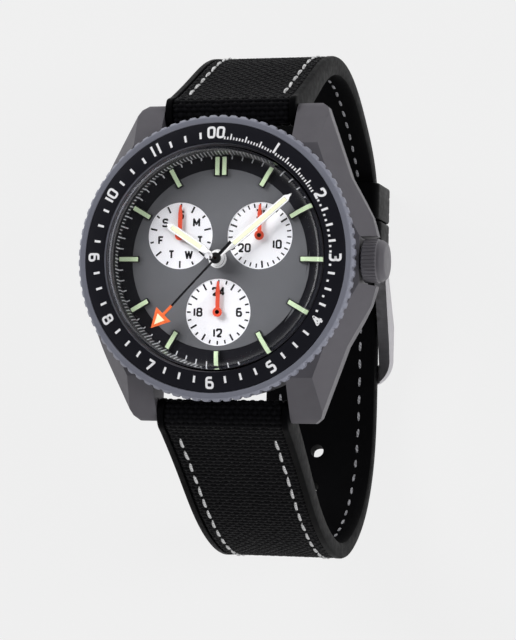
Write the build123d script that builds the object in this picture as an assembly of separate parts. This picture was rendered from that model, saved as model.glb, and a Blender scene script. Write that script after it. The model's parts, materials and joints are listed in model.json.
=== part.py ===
from build123d import *
import math
import os

# Field watch with a turning dive bezel, three calendar sub-dials and a two-piece
# strap closed by a tang buckle.  Millimetres.  The origin is the centre of the
# case back's outer face: +Z runs out through the dial, +Y to 12 o'clock and +X
# to the crown at 3 o'clock.

os.makedirs("parts", exist_ok=True)

# ------------------------------------------------------------------ dimensions
BEZEL_R = 20.5          # over the scalloped rim
BEZEL_SCALLOPS = 84
BEZEL_BOTTOM = 7.4
BEZEL_TOP = 10.98
INSERT_R_OUT = 19.2
INSERT_R_IN = 16.35
CRYSTAL_R = 15.95
CRYSTAL_TOP = 13.2
NECK_R = 17.3           # collar of the case that the bezel turns on
DECK_Z = 7.3            # top of the case, under the bezel
CASE_Z = 1.0            # underside of the case, above the back's outer face
BORE_R = 15.0
DIAL_R = 15.65
DIAL_Z = 7.5            # top face of the dial
LUG_HALF_GAP = 10.0
LUG_TO_LUG = 46.3
WAIST = (18.3, 12.1)       # where the right flank bends outwards to the crown guard
GUARD = (21.6, 6.3)
SPRING_BAR_Y = 21.4
SPRING_BAR_Z = 2.9
CROWN_Z = 5.1
CROWN_R = 3.15
CROWN_X0 = 20.75
CROWN_X1 = 24.1
SUB_R = 4.8             # sub-dial radius
DAY_XY = (-5.89, 3.4)
DATE_XY = (5.89, 3.4)
H24_XY = (0.0, -7.55)
HOUR_ANGLE = 303.0      # hands at 10:08:37, clockwise from 12
MINUTE_ANGLE = 49.5
SECOND_ANGLE = 223.0
PLATE_R = 13.0          # movement
PLATE_Z0 = 4.4
PLATE_Z1 = 5.2
THIRD_XY = (-2.80, -1.02)
FIFTH_XY = (2.20, -1.845)
ROTOR_XY = (3.55, -3.454)
MOTION_XY = (2.63, 0.96)
IDLER_XY = (2.61, -2.39)
CALENDAR_XY = (0.0, 6.72)
BATTERY_XY = (-3.5, 7.2)
STRAP_HALF_LUG = 9.9    # strap half width at the lugs and at the buckle
STRAP_HALF_TAIL = 9.5
STRAP_T_LUG = 4.6
STRAP_T = 2.6
RIM = 1.0               # plain rubber rim each side of the woven face
REST_Z = -58.5          # outermost face of the buckle and keepers
TAIL_OUT_Z = -56.6      # outer face of the long strap under the wrist
SHORT_OUT_Z = -53.7     # outer face of the short strap, one layer in
HINGE_Y = 2.0           # buckle pin
HINGE_Z = SHORT_OUT_Z + STRAP_T / 2


# --------------------------------------------------------------------- helpers
def disc(radius, z0, z1, at=(0.0, 0.0)):
    """Upright cylinder between two heights."""
    body = Cylinder(radius, z1 - z0, align=(Align.CENTER, Align.CENTER, Align.MIN))
    return Pos(at[0], at[1], z0) * body


def ring(r_out, r_in, z0, z1, at=(0.0, 0.0)):
    return disc(r_out, z0, z1, at) - disc(r_in, z0 - 1, z1 + 1, at)


def block(x0, x1, y0, y1, z0, z1):
    """Box between two corners."""
    centre = Pos((x0 + x1) / 2, (y0 + y1) / 2, (z0 + z1) / 2)
    return centre * Box(x1 - x0, y1 - y0, z1 - z0)


def turned(points):
    """Solid of revolution about Z from (radius, height) corners."""
    outline = Polyline(*[(r, 0, z) for r, z in points], close=True)
    return revolve(make_face(outline), Axis.Z, 360)


def plate(points, z0, z1):
    """Flat part with a straight-sided outline in plan."""
    outline = Polyline(*[(x, y, z0) for x, y in points], close=True)
    return extrude(make_face(outline), amount=z1 - z0, dir=(0, 0, 1))


def side_cut(points, half):
    """Prism along X with its outline in the (y, z) plane."""
    outline = Polyline(*[(-half, y, z) for y, z in points], close=True)
    return extrude(make_face(outline), amount=2 * half, dir=(1, 0, 0))


def rod_x(radius, x0, x1, y, z):
    body = Cylinder(radius, x1 - x0, align=(Align.CENTER, Align.CENTER, Align.MIN))
    return Pos(x0, y, z) * Rot(0, 90, 0) * body


def pointing(shape, degrees_clockwise):
    """Turn a part drawn towards 12 o'clock to a clock angle."""
    return Rot(0, 0, -degrees_clockwise) * shape


def wheel(teeth, tip_r, tooth, z0, z1, at, bore=0.0):
    """Toothed disc: straight-flanked teeth, tips just short of the mating wheel."""
    root = tip_r - tooth
    pitch = 2 * math.pi / teeth
    points = []
    for i in range(teeth):
        for share, radius in ((0.0, root), (0.3, tip_r), (0.5, tip_r), (0.8, root)):
            angle = (i + share) * pitch
            points.append((at[0] + radius * math.cos(angle), at[1] + radius * math.sin(angle)))
    body = plate(points, z0, z1)
    if bore:
        body -= disc(bore, z0 - 1, z1 + 1, at)
    return body


# ------------------------------------------------------------------ watch case
def case_outline():
    """Plan of the case: four lugs, crown guards on the right, bowed left flank."""
    tip = LUG_TO_LUG / 2
    notch = math.sqrt((NECK_R + 2.2) ** 2 - LUG_HALF_GAP ** 2)
    right = Polyline(
        (LUG_HALF_GAP, notch), (LUG_HALF_GAP, tip), (13.6, tip), (14.6, 22.4),
        WAIST, GUARD, (22.55, 3.3), (22.55, -3.3), (GUARD[0], -GUARD[1]),
        (WAIST[0], -WAIST[1]), (14.6, -22.4), (13.6, -tip), (LUG_HALF_GAP, -tip), (LUG_HALF_GAP, -notch),
    )
    bottom = ThreePointArc((LUG_HALF_GAP, -notch), (0, -NECK_R - 2.2), (-LUG_HALF_GAP, -notch))
    left_low = Polyline(
        (-LUG_HALF_GAP, -notch), (-LUG_HALF_GAP, -tip), (-12.7, -tip), (-13.6, -22.4),
        (-17.4, -15.0),
    )
    flank = ThreePointArc((-17.4, -15.0), (-20.9, 0), (-17.4, 15.0))
    left_up = Polyline(
        (-17.4, 15.0), (-13.6, 22.4), (-12.7, tip), (-LUG_HALF_GAP, tip), (-LUG_HALF_GAP, notch),
    )
    top = ThreePointArc((-LUG_HALF_GAP, notch), (0, NECK_R + 2.2), (LUG_HALF_GAP, notch))
    return make_face(Curve() + [right, bottom, left_low, flank, left_up, top])


def bevel(foot, outward, foot_z, tilt):
    """Half-space that slices a facet off an edge of the case.

    foot is a point on the flank, outward the flank's plan normal, and tilt the
    facet's angle above (or, negative, below) the horizontal."""
    length = math.hypot(*outward)
    nx, ny = outward[0] / length, outward[1] / length
    a = math.radians(tilt)
    up = 1 if tilt > 0 else -1
    normal = (nx * math.sin(abs(a)), ny * math.sin(abs(a)), up * math.cos(a))
    face = Plane(origin=(foot[0], foot[1], foot_z), x_dir=(-ny, nx, 0), z_dir=normal)
    return extrude(face * Rectangle(80, 80), amount=12)


def make_case():
    body = Pos(0, 0, 0) * extrude(case_outline(), amount=9.0)
    side = [
        (-23.15, 1.9), (-22.4, 1.2), (-19.5, CASE_Z), (19.5, CASE_Z), (22.4, 1.2), (23.15, 1.9),
        (23.15, 3.2), (22.5, 3.95), (16.8, DECK_Z), (-16.8, DECK_Z), (-22.5, 3.95), (-23.15, 3.2),
    ]
    body &= side_cut(side, 30)
    for sy in (1, -1):
        body -= bevel((-13.6, sy * 22.4), (-7.4, sy * 3.8), 4.5, 48)
        body -= bevel((-13.6, sy * 22.4), (-7.4, sy * 3.8), 2.3, -40)
        # The flank bends in at the waist, so each facet stops at the mitre there.
        mitre = [(WAIST[0] - 9.08, sy * (WAIST[1] - 4.18)), (WAIST[0] + 9.08, sy * (WAIST[1] + 4.18))]
        lug_zone = plate(mitre + [(28, sy * 30), (9.22, sy * 30)], -1, 12)
        guard_zone = plate(mitre + [(30, 0), (9.22, 0)], -1, 12)
        lug_side, guard_side = (10.3, sy * 3.7), (5.8, sy * 3.3)
        for height, tilt in ((4.5, 48), (2.3, -40)):
            body -= bevel((14.6, sy * 22.4), lug_side, height, tilt) & lug_zone
            body -= bevel((WAIST[0], sy * WAIST[1]), guard_side, height, tilt) & guard_zone
    for sy in (1, -1):
        body -= bevel((22.55, sy * 3.3), (3.0, sy * 0.65), 5.9, 40)
        body -= bevel((22.55, sy * 3.3), (3.0, sy * 0.65), 3.2, -40)
    body -= bevel((-20.9, 0), (-1, 0), 5.6, 45)
    body += disc(NECK_R, DECK_Z - 0.5, 10.1)
    body -= disc(BORE_R, 0, 7.1)
    body -= disc(15.75, 7.1, 8.1)
    body -= disc(CRYSTAL_R + 0.25, 8.1, 11)
    body -= disc(15.65, 0, CASE_Z + 0.45)
    recess = [(20.35, 3.3), (24, 3.75), (24, -3.75), (20.35, -3.3)]
    body -= plate(recess, 0.5, 9.5)
    body -= ring(19.0, 17.9, 6.9, 8.0)
    body -= rod_x(0.7, 14.0, 18.0, 0, CROWN_Z)
    body -= rod_x(1.25, 17.5, 21.0, 0, CROWN_Z)
    for y in (SPRING_BAR_Y, -SPRING_BAR_Y):
        body -= rod_x(0.45, -11.3, 11.3, y, SPRING_BAR_Z)
    return body


def make_case_back():
    back = turned([(0, 0), (15.2, 0), (15.9, 0.5), (15.9, 0.95), (0, 0.95)])
    back += ring(14.75, 13.7, 0.9, 1.9)
    for location in PolarLocations(14.6, 6):
        back -= location * Box(1.2, 2.2, 0.8)
    back -= ring(12.4, 12.1, -0.1, 0.15)
    return back


def domed(radius, foot, edge_z, top_z, corner):
    """Turned blank: upright wall, rounded shoulder, spherical dome over the axis."""
    rise = top_z - edge_z
    dome_r = (radius ** 2 + rise ** 2) / (2 * rise)

    def dome(r):
        return top_z - dome_r + math.sqrt(dome_r ** 2 - r ** 2)

    shoulder = radius - corner
    mid = corner * (1 - math.sqrt(0.5))
    edges = [
        Line((0, 0, foot), (radius, 0, foot)),
        Line((radius, 0, foot), (radius, 0, dome(shoulder) - corner)),
        ThreePointArc(
            (radius, 0, dome(shoulder) - corner), (radius - mid, 0, dome(shoulder) - mid),
            (shoulder, 0, dome(shoulder)),
        ),
        ThreePointArc(
            (shoulder, 0, dome(shoulder)), (shoulder / 2, 0, dome(shoulder / 2)), (0, 0, top_z),
        ),
        Line((0, 0, top_z), (0, 0, foot)),
    ]
    return revolve(make_face(Curve() + edges), Axis.Z, 360)


def make_crystal():
    """Box-shaped domed crystal: thick upright wall, softly domed top."""
    outside = domed(CRYSTAL_R, 8.15, CRYSTAL_TOP - 1.05, CRYSTAL_TOP, 1.9)
    inside = domed(CRYSTAL_R - 0.5, 7.0, CRYSTAL_TOP - 2.2, CRYSTAL_TOP - 1.3, 1.4)
    return outside - inside


def make_bezel_ring():
    body = turned([
        (17.4, BEZEL_BOTTOM), (19.7, BEZEL_BOTTOM), (BEZEL_R, 9.5), (BEZEL_R, 10.35),
        (20.05, BEZEL_TOP), (INSERT_R_OUT, BEZEL_TOP), (INSERT_R_OUT, BEZEL_TOP - 0.48),
        (INSERT_R_IN, BEZEL_TOP - 0.08), (INSERT_R_IN, BEZEL_TOP - 0.78), (17.4, BEZEL_TOP - 0.78),
    ])
    scallop = Pos(0, 0, 10.2) * Cylinder(0.4, 3.6)
    cutters = [loc * scallop for loc in PolarLocations(BEZEL_R + 0.12, BEZEL_SCALLOPS)]
    return body - cutters


def make_bezel_insert():
    return turned([
        (INSERT_R_OUT, BEZEL_TOP - 0.48), (INSERT_R_OUT, BEZEL_TOP - 0.01),
        (INSERT_R_IN, BEZEL_TOP + 0.44), (INSERT_R_IN, BEZEL_TOP - 0.08),
    ])


def make_click_spring():
    """Flat ring spring under the bezel with three raised leaves."""
    body = ring(18.95, 17.95, 6.92, 7.2)
    for location in PolarLocations(18.45, 3):
        body += Pos(0, 0, 7.24) * location * Box(0.8, 2.4, 0.2)
    return body


# ------------------------------------------------------------- dial and crown
def hour_bars():
    """(angle, side shift, inner radius) of each hour bar; 12 has a pair."""
    bars = [(0, -0.52, 12.05), (0, 0.52, 12.05)]
    for hour in range(1, 12):
        bars.append((30 * hour, 0.0, 13.15 if hour == 6 else 12.05))
    return bars


def make_dial():
    dial = disc(DIAL_R, 7.1, DIAL_Z)
    dial -= disc(1.1, 7, 8)
    for xy in (DAY_XY, DATE_XY, H24_XY):
        dial -= disc(SUB_R, DIAL_Z - 0.08, 8, xy)
        dial -= disc(0.42, 7, 8, xy)
    return dial


def make_index_frames():
    frames = []
    for angle, shift, inner in hour_bars():
        frame = block(shift - 0.44, shift + 0.44, inner - 0.14, 14.94, DIAL_Z, DIAL_Z + 0.45)
        pocket = block(shift - 0.31, shift + 0.31, inner, 14.84, DIAL_Z + 0.15, 9)
        frames.append(pointing(frame - pocket, angle))
    return Compound(children=frames)


def make_index_lume():
    fills = []
    for angle, shift, inner in hour_bars():
        fill = block(shift - 0.31, shift + 0.31, inner, 14.84, DIAL_Z + 0.15, DIAL_Z + 0.5)
        fills.append(pointing(fill, angle))
    return Compound(children=fills)


def make_flange():
    """Tall steep ring that carries the minute track inside the crystal."""
    return turned([
        (15.0, DIAL_Z), (15.7, DIAL_Z), (15.7, 8.08), (15.38, 8.08), (15.38, 9.7), (15.22, 9.7),
    ])


def make_crown():
    body = turned([
        (0, CROWN_X1), (2.45, CROWN_X1), (3.0, 23.45), (3.0, 22.95), (CROWN_R, 22.85),
        (CROWN_R, CROWN_X0 + 0.1), (CROWN_R - 0.1, CROWN_X0), (1.85, CROWN_X0),
        (1.85, 22.3), (0, 22.3),
    ])
    groove = Pos(0, 0, (CROWN_X0 + 22.9) / 2 - 0.25) * Cylinder(0.17, 2.6)
    body -= [loc * groove for loc in PolarLocations(CROWN_R + 0.03, 36)]
    body -= disc(0.45, 20, 23.3)
    return Pos(0, 0, CROWN_Z) * Rot(0, 90, 0) * body


def make_stem():
    body = rod_x(0.45, 5.3, 23.3, 0, CROWN_Z)
    groove = rod_x(0.6, 10.25, 10.75, 0, CROWN_Z) - rod_x(0.2, 10, 11, 0, CROWN_Z)
    return body - groove


def make_setting_lever():
    lever = block(9.6, 11.2, -3.4, -0.6, 5.25, 5.5)
    lever += block(10.35, 10.65, -0.65, -0.3, 5.25, 5.5)
    lever += disc(0.11, 4.9, 5.3, (10.5, -0.37))
    return lever


# ----------------------------------------------------------------------- hands
def baton(hub_r, neck, neck_end, width, start, end, tip, z0, z1):
    """Pointed baton hand drawn towards 12 o'clock."""
    outline = [
        (-neck / 2, 0), (-neck / 2, neck_end), (-width / 2, start), (-width / 2, end),
        (0, tip), (width / 2, end), (width / 2, start), (neck / 2, neck_end), (neck / 2, 0),
    ]
    return plate(outline, z0, z1) + disc(hub_r, z0, z1)


def make_hour_hand():
    hand = baton(1.35, 0.7, 2.0, 1.1, 2.6, 8.5, 9.3, 8.15, 8.4)
    slot = block(-0.3, 0.3, 3.0, 8.35, 8, 9)
    return pointing(hand - slot - disc(0.95, 8, 9), HOUR_ANGLE)


def make_hour_lume():
    return pointing(block(-0.3, 0.3, 3.0, 8.35, 8.17, 8.42), HOUR_ANGLE)


def make_minute_hand():
    hand = baton(1.15, 0.6, 2.0, 1.05, 2.8, 13.2, 14.1, 8.72, 8.95)
    slot = block(-0.28, 0.28, 3.2, 13.05, 8, 9.5)
    return pointing(hand - slot - disc(0.6, 8, 9.5), MINUTE_ANGLE)


def make_minute_lume():
    return pointing(block(-0.28, 0.28, 3.2, 13.05, 8.74, 8.97), MINUTE_ANGLE)


def arrow(base, tip, half, z0, z1):
    return plate([(-half, base), (0, tip), (half, base)], z0, z1)


def make_second_hand():
    """Thin shaft with a short counterweight and a broad arrow head."""
    hand = block(-0.15, 0.15, 0, 11.2, 9.3, 9.45)
    hand += block(-0.22, 0.22, -3.2, 0, 9.3, 9.45)
    hand += block(-0.2, 0.2, 9.3, 11.2, 9.3, 9.48)
    hand += arrow(11.0, 13.7, 1.5, 9.3, 9.48)
    hand += disc(0.8, 9.3, 9.6)
    hand -= arrow(11.5, 13.0, 0.72, 9, 10)
    hand -= disc(0.2, 9, 10)
    return pointing(hand, SECOND_ANGLE)


def make_second_lume():
    return pointing(arrow(11.5, 13.0, 0.72, 9.32, 9.5), SECOND_ANGLE)


def small_hand(at):
    """Slim pointer of a sub-dial, towards 12 o'clock."""
    outline = [(-0.27, 0), (-0.31, 3.1), (-0.12, 4.4), (0.12, 4.4), (0.31, 3.1), (0.27, 0)]
    pointer = plate(outline, 7.75, 7.9)
    pointer += disc(0.68, 7.75, 7.98)
    pointer -= disc(0.3, 7, 9)
    return Pos(at[0], at[1], 0) * pointer


# -------------------------------------------------------------- quartz movement
def make_main_plate():
    body = disc(PLATE_R, PLATE_Z0, PLATE_Z1)
    for xy in ((9.8, -4.0), (-10.5, -2.5), (0.0, -12.0)):
        body += disc(0.85, 1.9, PLATE_Z0 + 0.1, xy)
        body -= disc(0.4, 1.0, PLATE_Z1, xy)
    for xy in (MOTION_XY, IDLER_XY):
        body += disc(0.22, PLATE_Z1 - 0.1, 6.3, xy)
    body += disc(0.28, PLATE_Z1 - 0.1, 6.3, CALENDAR_XY)
    body -= disc(0.67, 4, 6)
    for xy in (DAY_XY, DATE_XY, H24_XY):
        body -= disc(0.36, 4, 6, xy)
    for xy in (THIRD_XY, FIFTH_XY, ROTOR_XY):
        body -= disc(0.17, 4, PLATE_Z1 - 0.2, xy)
    body -= block(5.2, 14, -1.12, 1.12, 4, 6)
    return body


def make_dial_side_plate():
    body = disc(PLATE_R, 6.5, 6.8) - disc(1.05, 6, 7)
    for xy in (DAY_XY, DATE_XY, H24_XY):
        body -= disc(0.36, 6, 7, xy)
    return body


def make_train_bridge():
    body = disc(12.6, 1.5, 1.9) & block(-14, 14, -14, 1.9, 1, 3)
    body -= disc(5.15, 1, 3, BATTERY_XY)
    body -= disc(0.25, 1, 3)
    for xy in (THIRD_XY, FIFTH_XY, ROTOR_XY):
        body -= disc(0.17, 1, 3, xy)
    for xy in ((9.8, -4.0), (-10.5, -2.5), (0.0, -12.0)):
        body -= disc(0.4, 1, 3, xy)
    return body


def make_movement_screws():
    screws = []
    for xy in ((9.8, -4.0), (-10.5, -2.5), (0.0, -12.0)):
        screw = disc(0.75, 1.2, 1.5, xy) + disc(0.4, 1.5, 4.6, xy)
        screw -= Pos(xy[0], xy[1], 1.2) * Box(1.6, 0.22, 0.3)
        screws.append(screw)
    return Compound(children=screws)


def make_movement_ring():
    body = ring(14.9, 13.1, 2.0, 6.8)
    return body - rod_x(0.75, 12, 16, 0, CROWN_Z)


def make_stator():
    legs = Polyline((-6.6, -9.8), (-4.6, -5.4), ROTOR_XY, (6.6, -9.8))
    body = extrude(trace(legs, 1.9), amount=0.4)
    body = Pos(0, 0, 3.3) * body
    body += disc(1.7, 3.3, 3.7, ROTOR_XY)
    body -= disc(1.0, 3, 4, ROTOR_XY)
    return body


def make_motor_coil():
    core = block(-7.5, 7.5, -10.7, -8.9, 2.95, 3.3)
    coil = rod_x(1.1, -5, 5, -9.8, 3.2) - block(-6, 6, -10.7, -8.9, 2.95, 3.3)
    return Compound(children=[core, coil])


def make_circuit_board():
    body = (disc(12.6, 2.9, 3.2) & block(3.2, 13, 1.6, 12, 2, 4))
    return body - disc(5.2, 2, 4, BATTERY_XY)


def make_quartz_can():
    body = Cylinder(0.85, 6.0)
    return Pos(9.2, 5.4, 2.02) * Rot(90, 0, 0) * body


def make_rotor():
    body = wheel(8, 0.33, 0.1, 2.55, 3.0, ROTOR_XY)
    body += disc(0.8, 3.15, 3.85, ROTOR_XY)
    return body + disc(0.1, 1.6, 4.7, ROTOR_XY)


def make_fifth_wheel():
    body = wheel(40, 1.73, 0.12, 2.65, 2.85, FIFTH_XY)
    body += wheel(8, 0.38, 0.1, 2.05, 2.66, FIFTH_XY)
    return body + disc(0.12, 1.6, 4.7, FIFTH_XY)


def make_third_wheel():
    body = wheel(60, 2.6, 0.12, 2.65, 2.85, THIRD_XY)
    body += wheel(8, 0.31, 0.1, 3.75, 4.2, THIRD_XY)
    return body + disc(0.12, 1.6, 4.7, THIRD_XY)


def make_second_wheel():
    body = wheel(48, 2.44, 0.12, 2.15, 2.35, (0, 0))
    body += wheel(8, 0.33, 0.1, 2.5, 3.0, (0, 0))
    return body + disc(0.2, 1.6, 9.6)


def make_centre_wheel():
    body = wheel(64, 2.62, 0.12, 3.9, 4.1, (0, 0))
    body += wheel(12, 0.68, 0.1, 5.25, 5.55, (0, 0))
    body += disc(0.6, 3.9, 8.95)
    return body - disc(0.28, 3, 10)


def make_minute_wheel():
    body = wheel(36, 2.06, 0.12, 5.3, 5.5, MOTION_XY)
    body += wheel(10, 0.54, 0.1, 5.5, 5.95, MOTION_XY)
    return body - disc(0.28, 5, 7, MOTION_XY)


def make_hour_wheel():
    body = wheel(40, 2.2, 0.12, 5.62, 5.92, (0, 0)) + disc(0.95, 5.62, 8.4)
    return body - disc(0.68, 5, 9)


def calendar_pipe(teeth, tip_r, at):
    """Wheel under a sub-dial, with the arbor that carries its hand."""
    return wheel(teeth, tip_r, 0.15, 5.62, 5.92, at) + disc(0.3, 4.6, 7.98, at)


# ----------------------------------------------------------------------- strap
def half_width(z):
    """The strap narrows evenly from the lugs to the buckle."""
    share = (4.0 - z) / (4.0 - REST_Z)
    return STRAP_HALF_LUG + (STRAP_HALF_TAIL - STRAP_HALF_LUG) * share


def thickness(distance):
    """Thick at the lug end, thinning evenly to the sheet's own thickness."""
    reach = 38.0
    if distance >= reach:
        return STRAP_T
    return STRAP_T + (STRAP_T_LUG - STRAP_T) * (1 - distance / reach) ** 1.4


def offset_points(path, first, last, depth):
    """Points a given depth under a strap's outer curve, from first to last share."""
    points = []
    count = 22
    for i in range(count + 1):
        u = first + (last - first) * i / count
        p = path @ u
        t = path % u
        inward = Vector(0, -t.Z, t.Y)
        if inward.dot(Vector(0, 0, -26) - p) < 0:
            inward = inward * -1
        points.append(p + inward * depth(u * path.length))
    return points


def layer(path, end_y, shallow, deep, first=0.0):
    """Face between two depths under the strap's outer curve, then straight to end_y."""
    upper = offset_points(path, first, 1.0, shallow)
    lower = offset_points(path, first, 1.0, deep)
    far_up = Vector(0, end_y, upper[-1].Z)
    far_low = Vector(0, end_y, lower[-1].Z)
    edges = [
        Spline(*upper), Line(upper[-1], far_up), Line(far_up, far_low),
        Line(far_low, lower[-1]), Spline(*lower), Line(lower[0], upper[0]),
    ]
    return make_face(Curve() + edges)


def slab(face, half=12.0):
    solid = extrude(face, amount=half, dir=(1, 0, 0))
    return solid + extrude(face, amount=half, dir=(-1, 0, 0))


def width_envelope(inset):
    """Wedge that trims a strap to its tapering width."""
    top, low = 8.0, REST_Z - 2
    a, b = half_width(top) - inset, half_width(low) - inset
    outline = Polyline((a, -60, top), (b, -60, low), (-b, -60, low), (-a, -60, top), close=True)
    return extrude(make_face(outline), amount=120, dir=(0, 1, 0))


SHORT_PATH = Spline(
    (0, 24.6, 2.6), (0, 29.4, -6.9), (0, 33.6, -16.0), (0, 34.8, -24.0), (0, 32.9, -34.2),
    (0, 27.6, -43.8), (0, 21.8, -50.8), (0, 15.0, SHORT_OUT_Z),
    tangents=((0, 0.42, -0.9), (0, -1, 0)),
)
LONG_PATH = Spline(
    (0, -25.0, 2.6), (0, -31.1, -6.1), (0, -37.2, -14.5), (0, -41.9, -24.0),
    (0, -43.6, -33.0), (0, -41.6, -42.3), (0, -36.0, -50.6), (0, -28.0, -55.3),
    (0, -18.0, TAIL_OUT_Z),
    tangents=((0, -0.55, -0.83), (0, 1, 0)),
)


def lug_end(side, path):
    """Section of the strap where it wraps the spring bar."""
    bar = (0, side * SPRING_BAR_Y, SPRING_BAR_Z)
    inner = offset_points(path, 0.0, 0.1, thickness)[0]
    shoulder = ThreePointArc(
        (0, side * 22.7, 4.75), (0, side * 24.0, 4.15), path @ 0.0,
    )
    rest = Polyline(
        path @ 0.0, inner, (0, side * SPRING_BAR_Y, SPRING_BAR_Z - 1.6),
        (0, side * SPRING_BAR_Y, SPRING_BAR_Z + 1.6), (0, side * 22.7, 4.75),
    )
    face = make_face(Curve() + [shoulder, rest])
    around = Plane(origin=bar, x_dir=(0, 1, 0), z_dir=(1, 0, 0)) * Circle(1.6)
    return slab(face) + slab(around)


def woven_depths():
    return (lambda s: 0.15), (lambda s: 0.75)


def make_short_fabric():
    shallow, deep = woven_depths()
    face = layer(SHORT_PATH, 11.5, shallow, deep, first=0.01)
    return slab(face) & width_envelope(RIM)


def make_short_base():
    body = slab(layer(SHORT_PATH, HINGE_Y, lambda s: 0.0, thickness))
    body += lug_end(1, SHORT_PATH)
    body += rod_x(STRAP_T / 2, -12, 12, HINGE_Y, HINGE_Z)
    body &= width_envelope(0.0)
    body -= rod_x(0.85, -12, 12, SPRING_BAR_Y, SPRING_BAR_Z)
    body -= rod_x(0.7, -12, 12, HINGE_Y, HINGE_Z)
    body -= block(-1.5, 1.5, -2, HINGE_Y + 2.2, -60, -45)
    return body - make_short_fabric()


HOLE_PITCH = 7.0
TONGUE_HOLE_Y = HINGE_Y - 1.1
STRAP_HOLES = [TONGUE_HOLE_Y + HOLE_PITCH * k for k in (-5, -4, -3, -2, -1, 1)]


def round_hole(y):
    """Cutter square to the strap's outer face where its middle is at y."""
    low, high = 0.6, 1.0
    for _ in range(30):
        share = (low + high) / 2
        if (LONG_PATH @ share).Y < y:
            low = share
        else:
            high = share
    if y > -18.0:
        return disc(1.1, -60, -50, (0, y))
    face, along = LONG_PATH @ low, LONG_PATH % low
    through = Plane(origin=face, x_dir=(1, 0, 0), z_dir=(0, -along.Z, along.Y))
    return through * Cylinder(1.1, 8.0)


def long_holes():
    """Row of round holes, and the slotted one that the tongue is through."""
    cutters = []
    for y in STRAP_HOLES:
        cutters.append(round_hole(y))
    cutters.append(block(-1.3, 1.3, TONGUE_HOLE_Y - 1.0, TONGUE_HOLE_Y + 1.7, -60, -50))
    cutters.append(disc(1.3, -60, -50, (0, TONGUE_HOLE_Y - 1.0)))
    cutters.append(disc(1.3, -60, -50, (0, TONGUE_HOLE_Y + 1.7)))
    return cutters


def tip_cutter(reach, radius):
    """Trims the strap's tail to a round tip."""
    return block(-12, 12, reach - radius, reach + 6, -60, -50) - disc(
        radius, -61, -49, (0, reach - radius)
    )


def make_long_fabric():
    shallow, deep = woven_depths()
    face = layer(LONG_PATH, 17.3, shallow, deep, first=0.01)
    body = slab(face) & width_envelope(RIM)
    body -= tip_cutter(17.4, 9.6)
    return body - long_holes()


def make_long_base():
    body = slab(layer(LONG_PATH, 18.4, lambda s: 0.0, thickness))
    body += lug_end(-1, LONG_PATH)
    body &= width_envelope(0.0)
    body -= tip_cutter(18.4, 10.6)
    body -= rod_x(0.85, -12, 12, -SPRING_BAR_Y, SPRING_BAR_Z)
    body -= long_holes()
    return body - make_long_fabric()


def keeper(y0, y1, inner_face):
    """Closed rubber loop round both straps."""
    plan = Plane(origin=(0, y0, 0), x_dir=(1, 0, 0), z_dir=(0, 1, 0))
    low, high = REST_Z, inner_face + 1.0
    face = plan * Pos(0, -(low + high) / 2) * RectangleRounded(21.4, high - low, 1.4)
    cavity_low, cavity_high = TAIL_OUT_Z - 0.3, inner_face
    hollow = plan * Pos(0, -(cavity_low + cavity_high) / 2) * RectangleRounded(
        19.9, cavity_high - cavity_low, 0.2
    )
    return extrude(face, amount=y1 - y0, dir=(0, 1, 0)) - extrude(
        hollow, amount=y1 - y0, dir=(0, 1, 0)
    )


# ---------------------------------------------------------------------- buckle
def make_buckle_frame():
    """U-shaped frame with rounded front corners and a notch for the tongue."""
    outer = Pos(0, -6.0, 0) * RectangleRounded(23.4, 18.8, 4.6)
    outer += Pos(0, 0.4, 0) * Rectangle(23.4, 6.2)
    window = Pos(0, -3.9, 0) * RectangleRounded(19.7, 17.6, 2.4)
    window += Pos(0, 3.0, 0) * Rectangle(19.7, 8)
    body = extrude(Pos(0, 0, -60) * (outer - window), amount=12, dir=(0, 0, 1))
    profile = [
        (HINGE_Y - 0.4, HINGE_Z + 1.45), (-8.0, -54.6), (-14.6, -56.2), (-15.4, -56.9),
        (-15.4, -57.8), (-14.7, REST_Z), (-5.0, REST_Z), (HINGE_Y + 1.1, HINGE_Z - 1.0),
    ]
    solid_side = side_cut(profile, 12) + rod_x(1.5, -12, 12, HINGE_Y, HINGE_Z)
    body &= solid_side
    body -= block(-9.85, 9.85, -17, -8, TAIL_OUT_Z - 0.3, -50)
    body -= block(-1.35, 1.35, -17, -12, -60, -57.62)
    body -= rod_x(0.75, -11.1, 11.1, HINGE_Y, HINGE_Z)
    return body


def make_buckle_pin():
    return rod_x(0.6, -11.0, 11.0, HINGE_Y, HINGE_Z)


def make_tongue():
    """Tang: an eye round the pin, a steep root through the strap, a flat blade."""
    path = Polyline(
        (0, HINGE_Y - 0.5, HINGE_Z - 1.0), (0, HINGE_Y - 1.7, -56.7), (0, HINGE_Y - 4.6, -57.9),
        (0, -15.1, -58.1),
    )
    blade = []
    points = [path @ 0, *[edge @ 1 for edge in path.edges()]]
    half = 0.4
    upper, lower = [], []
    for i, p in enumerate(points):
        before = points[max(i - 1, 0)]
        after = points[min(i + 1, len(points) - 1)]
        along = (after - before).normalized()
        side = Vector(0, -along.Z, along.Y)
        upper.append(p + side * half)
        lower.append(p - side * half)
    outline = [(p.Y, p.Z) for p in upper + lower[::-1]]
    body = side_cut(outline, 1.0) + rod_x(1.15, -1.0, 1.0, HINGE_Y, HINGE_Z)
    return body - rod_x(0.66, -2, 2, HINGE_Y, HINGE_Z)


def make_spring_bars():
    """Two telescoping bars between the lugs: a tube with a pin at each end."""
    solids = []
    for y in (SPRING_BAR_Y, -SPRING_BAR_Y):
        tube = rod_x(0.75, -9.4, 9.4, y, SPRING_BAR_Z)
        for side in (-1, 1):
            x0, x1 = sorted((side * 7.4, side * 11.2))
            pin = rod_x(0.4, x0, x1, y, SPRING_BAR_Z)
            tube -= pin
            solids.append(pin)
        solids.append(tube)
    return Compound(children=solids)


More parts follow.
